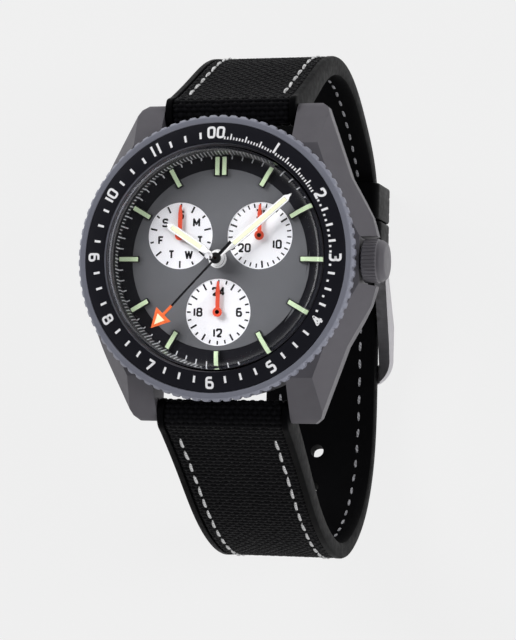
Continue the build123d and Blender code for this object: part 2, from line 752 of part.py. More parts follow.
# ------------------------------------------------------------------------ nodes
NODES = {
    "case_middle": make_case,
    "case_back": make_case_back,
    "case_back_gasket": lambda: ring(15.6, 14.95, 0.97, 1.4),
    "crystal": make_crystal,
    "crystal_gasket": lambda: ring(CRYSTAL_R + 0.24, CRYSTAL_R + 0.01, 8.12, 9.05),
    "flange_ring": make_flange,
    "dial": make_dial,
    "index_frames": make_index_frames,
    "index_lume": make_index_lume,
    "crown_tube": lambda: rod_x(1.25, 17.5, 21.6, 0, CROWN_Z) - rod_x(0.55, 17, 22, 0, CROWN_Z),
    "spring_bars": make_spring_bars,
    "movement_ring": make_movement_ring,
    "main_plate": make_main_plate,
    "dial_side_plate": make_dial_side_plate,
    "train_bridge": make_train_bridge,
    "movement_screws": make_movement_screws,
    "motor_coil": make_motor_coil,
    "stator": make_stator,
    "battery": lambda: disc(4.75, 2.15, 4.05, BATTERY_XY) + disc(4.2, 1.95, 2.2, BATTERY_XY),
    "battery_clamp": lambda: block(-9.0, 2.0, 6.4, 8.0, 1.75, 1.9),
    "circuit_board": make_circuit_board,
    "quartz_can": make_quartz_can,
    "bezel_click_spring": make_click_spring,
    "bezel_ring": make_bezel_ring,
    "bezel_insert": make_bezel_insert,
    "setting_lever": make_setting_lever,
    "crown": make_crown,
    "crown_gasket": lambda: rod_x(1.8, 20.95, 21.45, 0, CROWN_Z) - rod_x(1.3, 20, 22, 0, CROWN_Z),
    "winding_stem": make_stem,
    "sliding_pinion": lambda: rod_x(1.0, 5.4, 6.9, 0, CROWN_Z) - rod_x(0.45, 5, 7, 0, CROWN_Z),
    "hour_hand": make_hour_hand,
    "hour_hand_lume": make_hour_lume,
    "hour_wheel": make_hour_wheel,
    "minute_hand": make_minute_hand,
    "minute_hand_lume": make_minute_lume,
    "centre_wheel": make_centre_wheel,
    "second_hand": make_second_hand,
    "second_hand_lume": make_second_lume,
    "second_wheel": make_second_wheel,
    "day_hand": lambda: small_hand(DAY_XY),
    "day_wheel": lambda: calendar_pipe(28, 2.18, DAY_XY),
    "date_hand": lambda: small_hand(DATE_XY),
    "date_wheel": lambda: calendar_pipe(31, 2.18, DATE_XY),
    "hour24_hand": lambda: small_hand(H24_XY),
    "hour24_wheel": lambda: calendar_pipe(80, 4.44, H24_XY),
    "hour24_idler": lambda: wheel(24, 1.26, 0.12, 5.62, 5.92, IDLER_XY, 0.28),
    "calendar_wheel": lambda: wheel(80, 4.44, 0.15, 5.62, 5.92, CALENDAR_XY, 0.34),
    "minute_wheel": make_minute_wheel,
    "third_wheel": make_third_wheel,
    "fifth_wheel": make_fifth_wheel,
    "rotor": make_rotor,
    "strap_short_base": make_short_base,
    "strap_short_fabric": make_short_fabric,
    "strap_long_base": make_long_base,
    "strap_long_fabric": make_long_fabric,
    "fixed_keeper": lambda: keeper(6.5, 12.4, SHORT_OUT_Z + STRAP_T),
    "floating_keeper": lambda: keeper(12.5, 18.6, SHORT_OUT_Z + STRAP_T + 2.1),
    "buckle_frame": make_buckle_frame,
    "buckle_pin": make_buckle_pin,
    "buckle_tongue": make_tongue,
}

for name, make in NODES.items():
    shape = make()
    export_step(shape, f"parts/{name}.step")
    print(name, round(shape.volume, 3))
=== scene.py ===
import math

import bpy
import numpy as np
from mathutils import Matrix, Vector
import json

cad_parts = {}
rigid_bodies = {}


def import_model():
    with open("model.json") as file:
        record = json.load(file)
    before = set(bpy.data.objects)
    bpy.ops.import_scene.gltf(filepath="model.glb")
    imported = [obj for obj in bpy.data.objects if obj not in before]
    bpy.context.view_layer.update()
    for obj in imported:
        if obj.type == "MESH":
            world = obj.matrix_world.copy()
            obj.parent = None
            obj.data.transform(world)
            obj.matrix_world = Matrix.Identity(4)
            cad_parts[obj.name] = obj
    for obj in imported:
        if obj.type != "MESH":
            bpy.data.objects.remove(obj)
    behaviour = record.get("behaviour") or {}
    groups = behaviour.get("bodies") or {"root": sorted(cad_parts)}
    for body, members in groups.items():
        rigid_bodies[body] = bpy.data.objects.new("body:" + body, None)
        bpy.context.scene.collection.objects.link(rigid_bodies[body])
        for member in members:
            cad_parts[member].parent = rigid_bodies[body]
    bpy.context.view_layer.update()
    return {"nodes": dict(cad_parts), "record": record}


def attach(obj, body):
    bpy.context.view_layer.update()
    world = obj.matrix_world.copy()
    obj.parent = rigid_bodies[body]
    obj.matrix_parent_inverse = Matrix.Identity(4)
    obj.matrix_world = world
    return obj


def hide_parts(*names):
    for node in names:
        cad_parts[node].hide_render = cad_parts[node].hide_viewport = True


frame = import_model()
NODES = frame["nodes"]
MM = 0.001
scene = bpy.context.scene
scene.view_settings.view_transform = "Standard"

# The numbers below repeat the CAD source's, in millimetres.
BEZEL_R, INSERT_OUT, INSERT_IN = 20.5, 19.2, 16.35
BEZEL_TOP, CRYSTAL_TOP = 10.98, 13.2
DIAL_Z = 7.5
SUB_Z, SUB_R = DIAL_Z - 0.05, 4.62
DAY, DATE, H24 = (-5.89, 3.4), (5.89, 3.4), (0.0, -7.55)
BAR_Y, BAR_Z = 21.4, 2.9
CROWN_Z = 5.1
REST_Z, TAIL_OUT, SHORT_OUT = -58.5, -56.6, -53.7
THIN, THICKER, THINS_OVER = 2.6, 2.0, 38.0
LUG_HALF, TAPER, TAPER_FROM, TAPER_OVER = 9.9, 0.4, 4.0, 62.5
HINGE_Y = 2.0
# The tail is all that lies under TAIL_Z, and it is flat beyond FLAT_Y.
TAIL_Z, BEND_Z, FLAT_Y = -50, -45, -18
TAIL_END = 18.4
HOLE_R, HOLE_YS = 1.1, [0.9 + 7.0 * k for k in (-5, -4, -3, -2, -1, 1)]
SLOT_Y0, SLOT_Y1, SLOT_R = -0.1, 2.6, 1.3
STITCH_START = 1.1
# Arbors rise above this height between the hands, where they look black.
ARBOR_Z = 7.55


# ------------------------------------------------------------------ materials
def rgb(r, g, b):
    """Linear colour from 0..255 display values."""
    return tuple(
        (c / 255 / 12.92 if c <= 10.3 else ((c / 255 + 0.055) / 1.055) ** 2.4) for c in (r, g, b)
    ) + (1.0,)


class Nodes:
    """Shorthand for adding shader nodes to a tree and filling their inputs."""

    def __init__(self, tree):
        self.tree = tree

    def add(self, kind, inputs=(), **values):
        """Inputs go by name or number, and hold a value or another node's output."""
        node = self.tree.nodes.new("ShaderNode" + kind)
        for key, value in values.items():
            setattr(node, key, value)
        for key, value in dict(inputs).items():
            self.put(node.inputs[key], value)
        return node

    def put(self, socket, value):
        if isinstance(value, bpy.types.NodeSocket):
            self.tree.links.new(value, socket)
        else:
            socket.default_value = value

    def maths(self, operation, a, b=0.0):
        return self.add("Math", {0: a, 1: b}, operation=operation).outputs[0]

    def vector(self, operation, inputs):
        return self.add("VectorMath", inputs, operation=operation).outputs

    def xyz(self, vector):
        return self.add("SeparateXYZ", {"Vector": vector}).outputs

    def blend(self, fac, a, b, kind="RGBA"):
        inputs = {"Factor": fac, "A": a, "B": b}
        return self.add("Mix", inputs, data_type=kind).outputs["Result"]

    def ramp(self, fac, *stops):
        node = self.add("ValToRGB", {"Fac": fac})
        bands = node.color_ramp.elements
        for band, stop in zip(bands, (stops[0], stops[-1])):
            band.position, band.color = stop
        for position, colour in stops[1:-1]:
            bands.new(position).color = colour
        return node.outputs["Color"]

    def tones(self, fac, low, high):
        return self.ramp(fac, (0.3, low), (0.7, high))


class Paint(Nodes):
    """A Principled material and the patterns that vary it. Sizes are in millimetres."""

    def __init__(self, name, colour, rough, **sockets):
        self.mat = bpy.data.materials.new(name)
        self.mat.use_nodes = True
        super().__init__(self.mat.node_tree)
        self.bsdf = self.tree.nodes["Principled BSDF"]
        self.give("Base Color", colour)
        self.give("Roughness", rough)
        for key, value in sockets.items():
            self.give(key.replace("_", " "), value)
        self.where = self.add("TexCoord").outputs["Object"]

    def give(self, socket, value):
        self.put(self.bsdf.inputs[socket], value)

    def noise(self, size, detail=2.0, stretch=None, roughness=0.5):
        """Noise whose blobs are about size across."""
        at = self.where
        if stretch:
            at = self.add("Mapping", {"Vector": at, "Scale": stretch}).outputs["Vector"]
        inputs = {"Vector": at, "Scale": 1 / MM / size, "Detail": detail, "Roughness": roughness}
        return self.add("TexNoise", inputs).outputs["Fac"]

    def gloss(self, fac, low, high):
        """Roughness from low to high over the middle half of a factor."""
        inputs = {"Value": fac, "From Min": 0.25, "From Max": 0.75, "To Min": low, "To Max": high}
        self.give("Roughness", self.add("MapRange", inputs).outputs["Result"])

    def bump(self, *layers):
        """Layers of (height, depth), stacked into one normal."""
        normal = None
        for height, depth in layers:
            inputs = {"Height": height, "Distance": depth * MM}
            if normal:
                inputs["Normal"] = normal
            normal = self.add("Bump", inputs).outputs["Normal"]
        self.give("Normal", normal)

    def radius(self):
        """Distance from the watch's upright axis."""
        out = self.xyz(self.where)
        squares = [self.maths("MULTIPLY", out[axis], out[axis]) for axis in "XY"]
        return self.maths("MULTIPLY", self.maths("SQRT", self.maths("ADD", *squares)), 1 / MM)

    def mix_in(self, fac, shader):
        """Shows another shader in the Principled one's place, as far as a factor says."""
        mix = self.add("MixShader", {"Fac": fac, 1: self.bsdf.outputs[0], 2: shader.outputs[0]})
        self.put(self.tree.nodes["Material Output"].inputs["Surface"], mix.outputs[0])


def shade(colour, factor):
    return tuple(min(1.0, c * factor) for c in colour[:3]) + (1.0,)


def grained(name, colour, rough, size=0.12, depth=0.004, vary=0.12, spread=0.08, **sockets):
    """Blasted, moulded or painted surface: mottled colour, uneven gloss, fine grain."""
    p = Paint(name, colour, rough, **sockets)
    patches = p.maths("MULTIPLY", p.noise(3.0, 4.0), 0.6)
    grain = p.noise(size, 3.0, roughness=0.65)
    tone = p.maths("ADD", patches, p.maths("MULTIPLY", grain, 0.4))
    p.give("Base Color", p.tones(tone, shade(colour, 1 - vary), shade(colour, 1 + vary)))
    p.gloss(p.noise(1.1, 4.0), rough - spread, rough + spread)
    p.bump((grain, depth), (p.noise(size * 5, 2.0), depth * 1.5))
    return p.mat


def brushed(name, colour, rough, stretch, vary=0.1, depth=0.003):
    """Metal with long fine scratches along one axis."""
    p = Paint(name, colour, rough, Metallic=1.0)
    lines = p.noise(0.12, 5.0, stretch, 0.7)
    p.give("Base Color", p.tones(lines, shade(colour, 1 - vary), shade(colour, 1 + vary)))
    p.gloss(p.noise(0.8, 3.0), rough - 0.06, rough + 0.08)
    p.bump((lines, depth))
    return p.mat


def turned_metal(name, colour, rough):
    """Metal with fine circular tool marks about the upright axis."""
    p = Paint(name, colour, rough, Metallic=1.0)
    inputs = {"W": p.radius(), "Scale": 1 / 0.09, "Detail": 3.0}
    marks = p.add("TexNoise", inputs, noise_dimensions="1D").outputs["Fac"]
    p.give("Base Color", p.tones(marks, shade(colour, 0.86), shade(colour, 1.12)))
    p.gloss(p.noise(1.0), rough - 0.05, rough + 0.07)
    p.bump((marks, 0.004))
    return p.mat


def glass(name):
    """Clear crystal: refracts, and lets lamp rays through to what is behind it."""
    p = Paint(name, (1, 1, 1, 1), 0.0, IOR=1.52, Transmission_Weight=1.0)
    wiped = p.ramp(p.noise(2.5, 2.0), (0.66, (0, 0, 0, 1)), (0.8, (0.02, 0.02, 0.02, 1)))
    p.give("Roughness", wiped)
    clear = p.add("BsdfTransparent", {"Color": (0.99, 0.99, 0.99, 1)})
    p.mix_in(p.add("LightPath").outputs["Is Shadow Ray"], clear)
    return p.mat


def weave_paint(name):
    """Black synthetic thread: twisted filaments, crossing ways by thread direction; painted
    highlight on the thread tops and painted shade in the hollows between them, by woven height.
    """
    p = Paint(name, rgb(10, 10, 12), 0.5, Specular_IOR_Level=0.08)
    uv = p.add("UVMap", uv_map="strap").outputs["UV"]
    # Strap coordinates are in millimetres, so the noise is scaled to match.
    filaments = []
    for scale in ((2.5, 22.0, 1.0), (22.0, 2.5, 1.0)):
        along = p.add("Mapping", {"Vector": uv, "Scale": scale}).outputs["Vector"]
        inputs = {"Vector": along, "Scale": 1.0, "Detail": 2.0}
        filaments.append(p.add("TexNoise", inputs, noise_dimensions="2D").outputs["Fac"])
    way, height = [
        p.add("Attribute", attribute_name=label).outputs["Fac"] for label in ("thread", "relief")
    ]
    threads = p.blend(way, *filaments, "FLOAT")
    # Colour by woven height: painted shade, near black, in the hollows and painted highlight,
    # lighter grey, on the thread tops.
    low = p.tones(threads, rgb(1, 1, 1), rgb(4, 4, 5))
    high = p.ramp(threads, (0.3, rgb(7, 7, 8)), (0.75, rgb(26, 26, 29)))
    p.give("Base Color", p.blend(height, low, high))
    p.gloss(threads, 0.38, 0.62)
    p.bump((threads, 0.035))
    return p.mat


def thread_paint(name, colour):
    """Twisted sewing thread."""
    p = Paint(name, colour, 0.75, Sheen_Weight=0.3)
    inputs = {"Vector": p.where, "Scale": 1100.0, "Distortion": 1.5}
    wave = p.add("TexWave", inputs, wave_type="BANDS", bands_direction="DIAGONAL")
    twist = wave.outputs["Fac"]
    p.give("Base Color", p.ramp(twist, (0.1, shade(colour, 0.55)), (0.8, shade(colour, 1.1))))
    p.bump((twist, 0.05), (p.noise(0.1, 3.0), 0.02))
    return p.mat


def split_hand(name):
    """Second hand: black shaft, then signal orange from a set distance outwards."""
    p = Paint(name, rgb(14, 14, 15), 0.3)
    far = p.maths("GREATER_THAN", p.radius(), 9.3)
    orange = p.tones(p.noise(0.5, 3.0), rgb(230, 102, 54), rgb(244, 120, 68))
    black = p.tones(p.noise(0.4, 3.0), rgb(10, 10, 11), rgb(22, 22, 24))
    p.give("Base Color", p.blend(far, black, orange))
    p.gloss(p.noise(0.6), 0.28, 0.42)
    p.bump((p.noise(0.08, 2.0), 0.002))
    return p.mat


def outlined(name, colour, edge, rough):
    """Lacquered hand: pale top, with the bevelled edges painted darker as painted shade."""
    p = Paint(name, colour, rough)
    # Faces tilted more than about 28 degrees from flat take the edge colour: painted shade for a
    # dark outline.
    flat = p.maths("GREATER_THAN", p.xyz(p.add("TexCoord").outputs["Normal"])["Z"], 0.88)
    tone = p.tones(p.noise(0.4, 3.0), shade(colour, 0.97), colour)
    p.give("Base Color", p.blend(flat, edge, tone))
    p.gloss(p.noise(0.6), rough - 0.05, rough + 0.07)
    p.bump((p.noise(0.08, 2.0), 0.0015))
    return p.mat


def darkened_tips(material, level):
    """Blackens a material above a height in millimetres."""
    nodes = Nodes(material.node_tree)
    base = nodes.tree.nodes["Principled BSDF"].inputs["Base Color"]
    height = nodes.xyz(nodes.add("TexCoord").outputs["Object"])["Z"]
    above = nodes.maths("GREATER_THAN", height, level * MM)
    nodes.put(base, nodes.blend(above, base.links[0].from_socket, rgb(40, 22, 20)))
    return material


CASE = grained("case_coating", rgb(103, 101, 106), 0.46, 0.10, 0.005, 0.07, 0.06, Metallic=0.35)
RING = grained("bezel_coating", rgb(142, 144, 157), 0.42, 0.09, 0.004, 0.06, 0.06, Metallic=0.4)
INSERT = grained(
    "insert_anodised", rgb(24, 24, 30), 0.48, 0.08, 0.003, 0.10, 0.06, Specular_IOR_Level=0.35)
PRINT = grained("white_print", rgb(236, 236, 238), 0.5, 0.10, 0.002, 0.03, 0.05)
GLASS = glass("crystal_clear_glass")
DIAL_BLACK = grained("dial_black_matt", rgb(24, 24, 29), 0.6, 0.07, 0.003, 0.12, 0.05)
DIAL_GREY = grained("dial_grey_matt", rgb(103, 104, 108), 0.62, 0.06, 0.004, 0.05, 0.05)
SUB_WHITE = grained("subdial_white", rgb(246, 246, 251), 0.5, 0.06, 0.003, 0.025, 0.05)
SILVER_PRINT = grained("silver_print", rgb(212, 214, 218), 0.42, 0.08, 0.002, 0.05, 0.05)
INK = grained("black_ink", rgb(22, 22, 25), 0.5, 0.06, 0.001, 0.10, 0.05)
LUME = grained("index_lume_green", rgb(218, 240, 200), 0.7, 0.05, 0.006, 0.05, 0.05)
LUME_HAND = grained("hand_lume_cream", rgb(242, 245, 212), 0.7, 0.05, 0.006, 0.04, 0.05)
LUME_TIP = grained("arrow_lume_cream", rgb(250, 242, 204), 0.7, 0.05, 0.006, 0.04, 0.05)
FRAME_BLACK = grained("index_frame_black", rgb(24, 24, 27), 0.35, 0.08, 0.002, 0.10, 0.08)
# The third colour is the painted shade on the hands' bevelled sides.
WHITE = outlined("hand_white_lacquer_painted_edge_shade", rgb(252, 252, 254), rgb(96, 96, 99), 0.28)
RED = grained("hand_red_lacquer", rgb(224, 86, 62), 0.38, 0.15, 0.002, 0.06, 0.05)
SECOND = split_hand("second_hand_two_tone")
RUBBER = grained(
    "rubber_black", rgb(7, 7, 8), 0.5, 0.16, 0.010, 0.14, 0.08, Specular_IOR_Level=0.05)
RUBBER_GLOSS = grained(
    "rubber_black_polished", rgb(6, 6, 7), 0.34, 0.3, 0.005, 0.12, 0.08, Specular_IOR_Level=0.05)
WEAVE = weave_paint("woven_black_thread")
THREAD = thread_paint("stitch_grey_thread", rgb(212, 212, 212))
# The inner stitches use the same thread painted darker: painted shade for the inside of the loop.
LINING_THREAD_SHADED = thread_paint("stitch_grey_inner_thread_painted_shade", rgb(140, 140, 144))
BUCKLE = brushed("buckle_satin_grey", rgb(224, 222, 226), 0.4, (0.05, 1.0, 1.0), 0.08)
STEEL = brushed("steel_brushed", rgb(176, 176, 180), 0.3, (0.06, 1.0, 1.0))
BACK = turned_metal("case_back_turned_steel", rgb(170, 170, 174), 0.3)
BRASS = darkened_tips(turned_metal("brass_turned", rgb(196, 164, 96), 0.32), ARBOR_Z)
COPPER = brushed("copper_winding", rgb(176, 98, 58), 0.35, (1.0, 0.05, 0.05), 0.2, 0.02)
BOARD = grained("board_green_mask", rgb(24, 92, 50), 0.35, 0.2, 0.004, 0.15, 0.08)
PLASTIC = grained("movement_white_plastic", rgb(222, 221, 214), 0.45, 0.2, 0.004, 0.04, 0.06)
darkened_tips(PLASTIC, ARBOR_Z)


# --------------------------------------------------------------- mesh helpers
def placed(name, data):
    obj = bpy.data.objects.new(name, data)
    scene.collection.objects.link(obj)
    return obj


def mesh_of(name, points, faces):
    """Mesh from points in millimetres."""
    mesh = bpy.data.meshes.new(name)
    mesh.from_pydata((np.asarray(points, float) * MM).tolist(), [], faces)
    return mesh


def shaded(mesh, angle):
    """Shades a mesh smooth, except over edges sharper than an angle in degrees."""
    mesh.polygons.foreach_set("use_smooth", [True] * len(mesh.polygons))
    mesh.update()
    mesh.set_sharp_from_angle(angle=math.radians(angle))


def build(name, points, faces, body, material, slot, smooth=35.0, replaces=()):
    """Object from millimetre points, riding on a CAD body."""
    mesh = mesh_of(name, points, faces)
    mesh.materials.append(material)
    shaded(mesh, smooth)
    obj = placed(name, mesh)
    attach(obj, body)
    if replaces:
        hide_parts(*replaces)
    return obj


class Heap:
    """Collects closed little solids into one mesh."""

    def __init__(self, *solids):
        self.points, self.faces = [], []
        for solid in solids:
            self.add(*solid)

    def add(self, points, faces):
        base = len(self.points)
        self.points.extend(points)
        self.faces.extend([tuple(base + i for i in face) for face in faces])


def grid_faces(rows, columns, wrap_rows=False, wrap_columns=False):
    """Quads over a row-major grid of points, optionally closed either way."""
    i = np.arange(rows if wrap_rows else rows - 1)[:, None]
    j = np.arange(columns if wrap_columns else columns - 1)[None, :]
    i2, j2 = (i + 1) % rows, (j + 1) % columns
    corners = [i * columns + j, i * columns + j2, i2 * columns + j2, i2 * columns + j]
    return np.stack(corners, axis=-1).reshape(-1, 4)


def end_caps(count, total):
    """Faces over the first and last rings of a tube of points."""
    return [tuple(range(count))[::-1], tuple(range(total - count, total))]


def unit(vectors):
    return vectors / np.linalg.norm(vectors, axis=-1, keepdims=True)


def arc(centre, radius, start, end, count):
    """Points on an arc, angles in degrees."""
    turns = [math.radians(start + (end - start) * k / count) for k in range(count + 1)]
    return [(centre[0] + radius * math.cos(a), centre[1] + radius * math.sin(a)) for a in turns]


def circle(radius, sides):
    return arc((0, 0), radius, 0, 360, sides)[:-1]


def eased(points, radius, closed=False, count=4):
    """Round a polyline's corners by at most radius."""
    out, n = [], len(points)
    pts = [np.array(p, float) for p in points]
    for i, p in enumerate(pts):
        if not closed and i in (0, n - 1):
            out.append(tuple(p))
            continue
        a, b = pts[i - 1] - p, pts[(i + 1) % n] - p
        la, lb = np.linalg.norm(a), np.linalg.norm(b)
        cut = min(radius, la * 0.49, lb * 0.49)
        start, end = p + a / la * cut, p + b / lb * cut
        for k in range(count + 1):
            t = k / count
            out.append(tuple((1 - t) ** 2 * start + 2 * t * (1 - t) * p + t * t * end))
    return out


def lathe(profile, segments, swing=None):
    """Closed profile of (radius, height) turned about Z; swing(r, z, angle) may move it."""
    points = []
    for k in range(segments):
        a = 2 * math.pi * k / segments
        for r, z in profile:
            if swing:
                r, z = swing(r, z, a)
            points.append((r * math.sin(a), r * math.cos(a), z))
    return points, grid_faces(segments, len(profile), True, True).tolist()


def turned(profile, segments, place):
    """Solid from a profile that starts and ends on the axis; place(r, z, angle) sets points."""
    inner = profile[1:-1]
    angles = [2 * math.pi * k / segments for k in range(segments)]
    points = [place(r, z, a) for a in angles for r, z in inner]
    points += [place(0.0, end[1], 0.0) for end in (profile[0], profile[-1])]
    count, pole = len(inner), len(points) - 2
    faces = grid_faces(segments, count, wrap_rows=True).tolist()
    for k in range(segments):
        here, there = k * count, (k + 1) % segments * count
        faces.append((pole, there, here))
        faces.append((pole + 1, here + count - 1, there + count - 1))
    return points, faces


def solid_disc(profile, segments, centre=(0.0, 0.0)):
    """Open profile from the axis outwards and back to the axis, turned and closed."""

    def place(r, z, a):
        return (centre[0] + r * math.sin(a), centre[1] + r * math.cos(a), z)

    return turned(profile, segments, place)


def dome(radius, edge, top, r):
    """Height of a spherical cap at radius r."""
    rise = top - edge
    ball = (radius**2 + rise**2) / (2 * rise)
    return top - ball + math.sqrt(ball**2 - r**2)


def tube(path, radii, up, sides=8, squash=0.8):
    """Flattened rod along 3-D points with a radius at each, its ends closed."""
    path = np.asarray(path, float)
    along = unit(np.gradient(path, axis=0))
    across = unit(np.cross(along, np.asarray(up, float)))
    normal = np.cross(across, along)
    points = []
    for p, a, n, r in zip(path, across, normal, radii):
        for k in range(sides):
            t = 2 * math.pi * k / sides
            points.append(tuple(p + a * r * math.cos(t) + n * r * squash * math.sin(t)))
    faces = grid_faces(len(path), sides, wrap_columns=True).tolist()
    return points, faces + end_caps(sides, len(points))


# ------------------------------------------------------------------- printing
# For each sign: its width, the easing of its corners, and its lines for a height of 1. A line
# that ends where it starts is closed.
GLYPHS = {
    "0": (0.62, 0.24, [[(0, 0), (0, 1), (0.62, 1), (0.62, 0), (0, 0)]]),
    "1": (0.10, 0.0, [[(0.05, 0), (0.05, 1)]]),
    "2": (0.62, 0.24, [[(0, 0.72), (0, 1), (0.62, 1), (0.62, 0.5), (0, 0), (0.64, 0)]]),
    "3": (0.64, 0.26, [[(0, 1), (0.62, 1), (0.62, 0.53), (0.24, 0.53)],
                       [(0.24, 0.53), (0.64, 0.53), (0.64, 0), (0, 0)]]),
    "4": (0.70, 0.02, [[(0.48, 0), (0.48, 1), (0, 0.28), (0.70, 0.28)]]),
    "5": (0.62, 0.22, [[(0.6, 1), (0.04, 1), (0, 0.57), (0.62, 0.57), (0.62, 0), (0, 0)]]),
    "6": (0.62, 0.24, [[(0.58, 1), (0, 1), (0, 0), (0.62, 0), (0.62, 0.57), (0.02, 0.57)]]),
    "7": (0.62, 0.06, [[(0, 1), (0.62, 1), (0.2, 0)]]),
    "8": (0.64, 0.22, [[(0.03, 0.53), (0.03, 1), (0.61, 1), (0.61, 0.53), (0.03, 0.53)],
                       [(0, 0), (0, 0.53), (0.64, 0.53), (0.64, 0), (0, 0)]]),
    "9": (0.62, 0.24, [[(0.04, 0), (0.62, 0), (0.62, 1), (0, 1), (0, 0.43), (0.6, 0.43)]]),
    "S": (0.6, 0.22, [[(0.6, 0.8), (0.6, 1), (0, 1), (0, 0.53), (0.6, 0.53), (0.6, 0), (0, 0),
                       (0, 0.2)]]),
    "M": (0.8, 0.02, [[(0, 0), (0, 1), (0.4, 0.3), (0.8, 1), (0.8, 0)]]),
    "T": (0.66, 0.0, [[(0, 1), (0.66, 1)], [(0.33, 1), (0.33, 0)]]),
    "W": (0.96, 0.02, [[(0, 1), (0.24, 0), (0.48, 0.9), (0.72, 0), (0.96, 1)]]),
    "F": (0.58, 0.04, [[(0, 0), (0, 1), (0.58, 1)], [(0, 0.52), (0.48, 0.52)]]),
}
PRINT_LOW, PRINT_HIGH = -0.02, 0.014


def stroke(heap, points, width, place, closed=False):
    """Flat printed line of a width, laid on a surface by place(u, v, height)."""
    pts = np.array(points, float)
    n = len(pts)
    before = np.roll(pts, 1, 0) if closed else np.vstack([pts[:1], pts[:-1]])
    after = np.roll(pts, -1, 0) if closed else np.vstack([pts[1:], pts[-1:]])
    d1, d2 = pts - before, after - pts
    if not closed:
        d1[0], d2[-1] = d2[0], d1[-1]
    d1, d2 = unit(d1), unit(d2)
    side = unit(d1 + d2)
    side = np.stack([-side[:, 1], side[:, 0]], 1)
    miter = 1 / np.clip(np.abs((side * np.stack([-d1[:, 1], d1[:, 0]], 1)).sum(1)), 0.62, 1)
    half = (width / 2 * miter)[:, None]
    out = []
    for a, b in zip(pts + side * half, pts - side * half):
        out += [place(*a, PRINT_HIGH), place(*b, PRINT_HIGH), place(*b, PRINT_LOW)]
        out.append(place(*a, PRINT_LOW))
    faces = grid_faces(n, 4, closed, True).tolist()
    if not closed:
        faces += end_caps(4, 4 * n)
    heap.add(out, faces)


def subdivided(points, step):
    """Split long runs so that a printed line follows a curved surface."""
    out = [points[0]]
    for a, b in zip(points, points[1:]):
        n = max(1, int(math.dist(a, b) / step))
        out += [tuple(p + (q - p) * k / n for p, q in zip(a, b)) for k in range(1, n + 1)]
    return out


def write(heap, text, height, weight, place, gap=0.34):
    """Signs in a rounded square hand, centred on place's origin, gap apart."""
    widths = [GLYPHS[c][0] for c in text]
    x = -(sum(widths) + gap * (len(text) - 1)) / 2
    for c, w in zip(text, widths):
        _, ease, lines = GLYPHS[c]
        for run in lines:
            closed = run[0] == run[-1]
            run = run[:-1] if closed else run
            run = eased(run, ease, closed, 5) if ease else run
            run = [((x + u) * height, (v - 0.5) * height) for u, v in run]
            stroke(heap, run if closed else subdivided(run, 0.25), weight, place, closed)
        x += w + gap


def cone_z(r):
    return BEZEL_TOP + 0.44 - 0.45 * (r - INSERT_IN) / (INSERT_OUT - INSERT_IN)


def on_bezel(clock, radius, flip=False):
    """Lays print on the bezel insert at a clock angle, reading outwards or inwards."""
    sign = -1.0 if flip else 1.0

    def place(u, v, h):
        r = radius + sign * v
        a = math.radians(clock) + sign * u / radius
        return (r * math.sin(a), r * math.cos(a), cone_z(r) + h)

    return place


def on_dial(x0, y0, z, clock=0.0):
    """Lays print flat on the dial, turned to a clock angle."""
    c, s = math.cos(math.radians(clock)), math.sin(math.radians(clock))

    def place(u, v, h):
        return (x0 + u * c + v * s, y0 - u * s + v * c, z + h)

    return place


def bezel_print():
    heap = Heap()

    def tick(clock, inner, outer, width, middle=17.5):
        run = subdivided([(0, inner - middle), (0, outer - middle)], 0.4)
        stroke(heap, run, width, on_bezel(clock, middle))

    for hour in range(12):
        clock = 30 * hour
        if hour in (1, 11):
            for side in (0,) if hour == 1 else (-1.55, 1.55):
                tick(clock + side, 17.02, 18.66, 0.32)
        else:
            place = on_bezel(clock, 17.85, flip=4 <= hour <= 8)
            write(heap, str(hour) if hour else "00", 1.42, 0.34, place, 0.36)
        parts = {0: 20, 1: 20, 2: 12, 3: 8}.get(hour, 4)
        for k in range(1, parts):
            off = 30 * k / parts
            if (hour == 0 and off < 4.2) or (hour == 1 and k == parts - 1):
                continue
            if parts == 20:
                tick(clock + off, 16.86, 17.72 if k % 5 == 0 else 17.26, 0.2)
            elif k % (parts // 4) == 0:
                tick(clock + off, 17.02, 17.98, 0.33)
            else:
                tick(clock + off, 17.02, 17.34, 0.3)
    build("bezel_print", heap.points, heap.faces, "bezel", PRINT, "white_paint")


def sub_disc(name, at):
    """White disc with fine turned grooves."""
    profile = [(0.0, SUB_Z - 0.02), (0.44, SUB_Z - 0.02)]
    r = 0.5
    while r < SUB_R:
        profile += [(r, SUB_Z), (r + 0.06, SUB_Z - 0.006), (r + 0.12, SUB_Z)]
        r += 0.24
    profile += [(4.66, SUB_Z), (4.72, SUB_Z + 0.02), (4.79, SUB_Z + 0.02), (4.79, SUB_Z - 0.028)]
    profile += [(0.44, SUB_Z - 0.028), (0.0, SUB_Z - 0.028)]
    disc = solid_disc(profile, 160, at)
    build("subdial_" + name, *disc, "case", SUB_WHITE, "white_paint", 40)


def sub_print(name, at, ticks, words, height):
    """Ticks of (clock, inner radius, width) and upright words of (clock, radius, text)."""
    heap = Heap()
    for clock, inner, width in ticks:
        stroke(heap, [(0, inner), (0, SUB_R)], width, on_dial(*at, SUB_Z, clock))
    for clock, radius, text in words:
        a = math.radians(clock)
        place = on_dial(at[0] + radius * math.sin(a), at[1] + radius * math.cos(a), SUB_Z)
        write(heap, text, height, 0.27, place)
    build(name + "_print", heap.points, heap.faces, "case", INK, "black_paint")


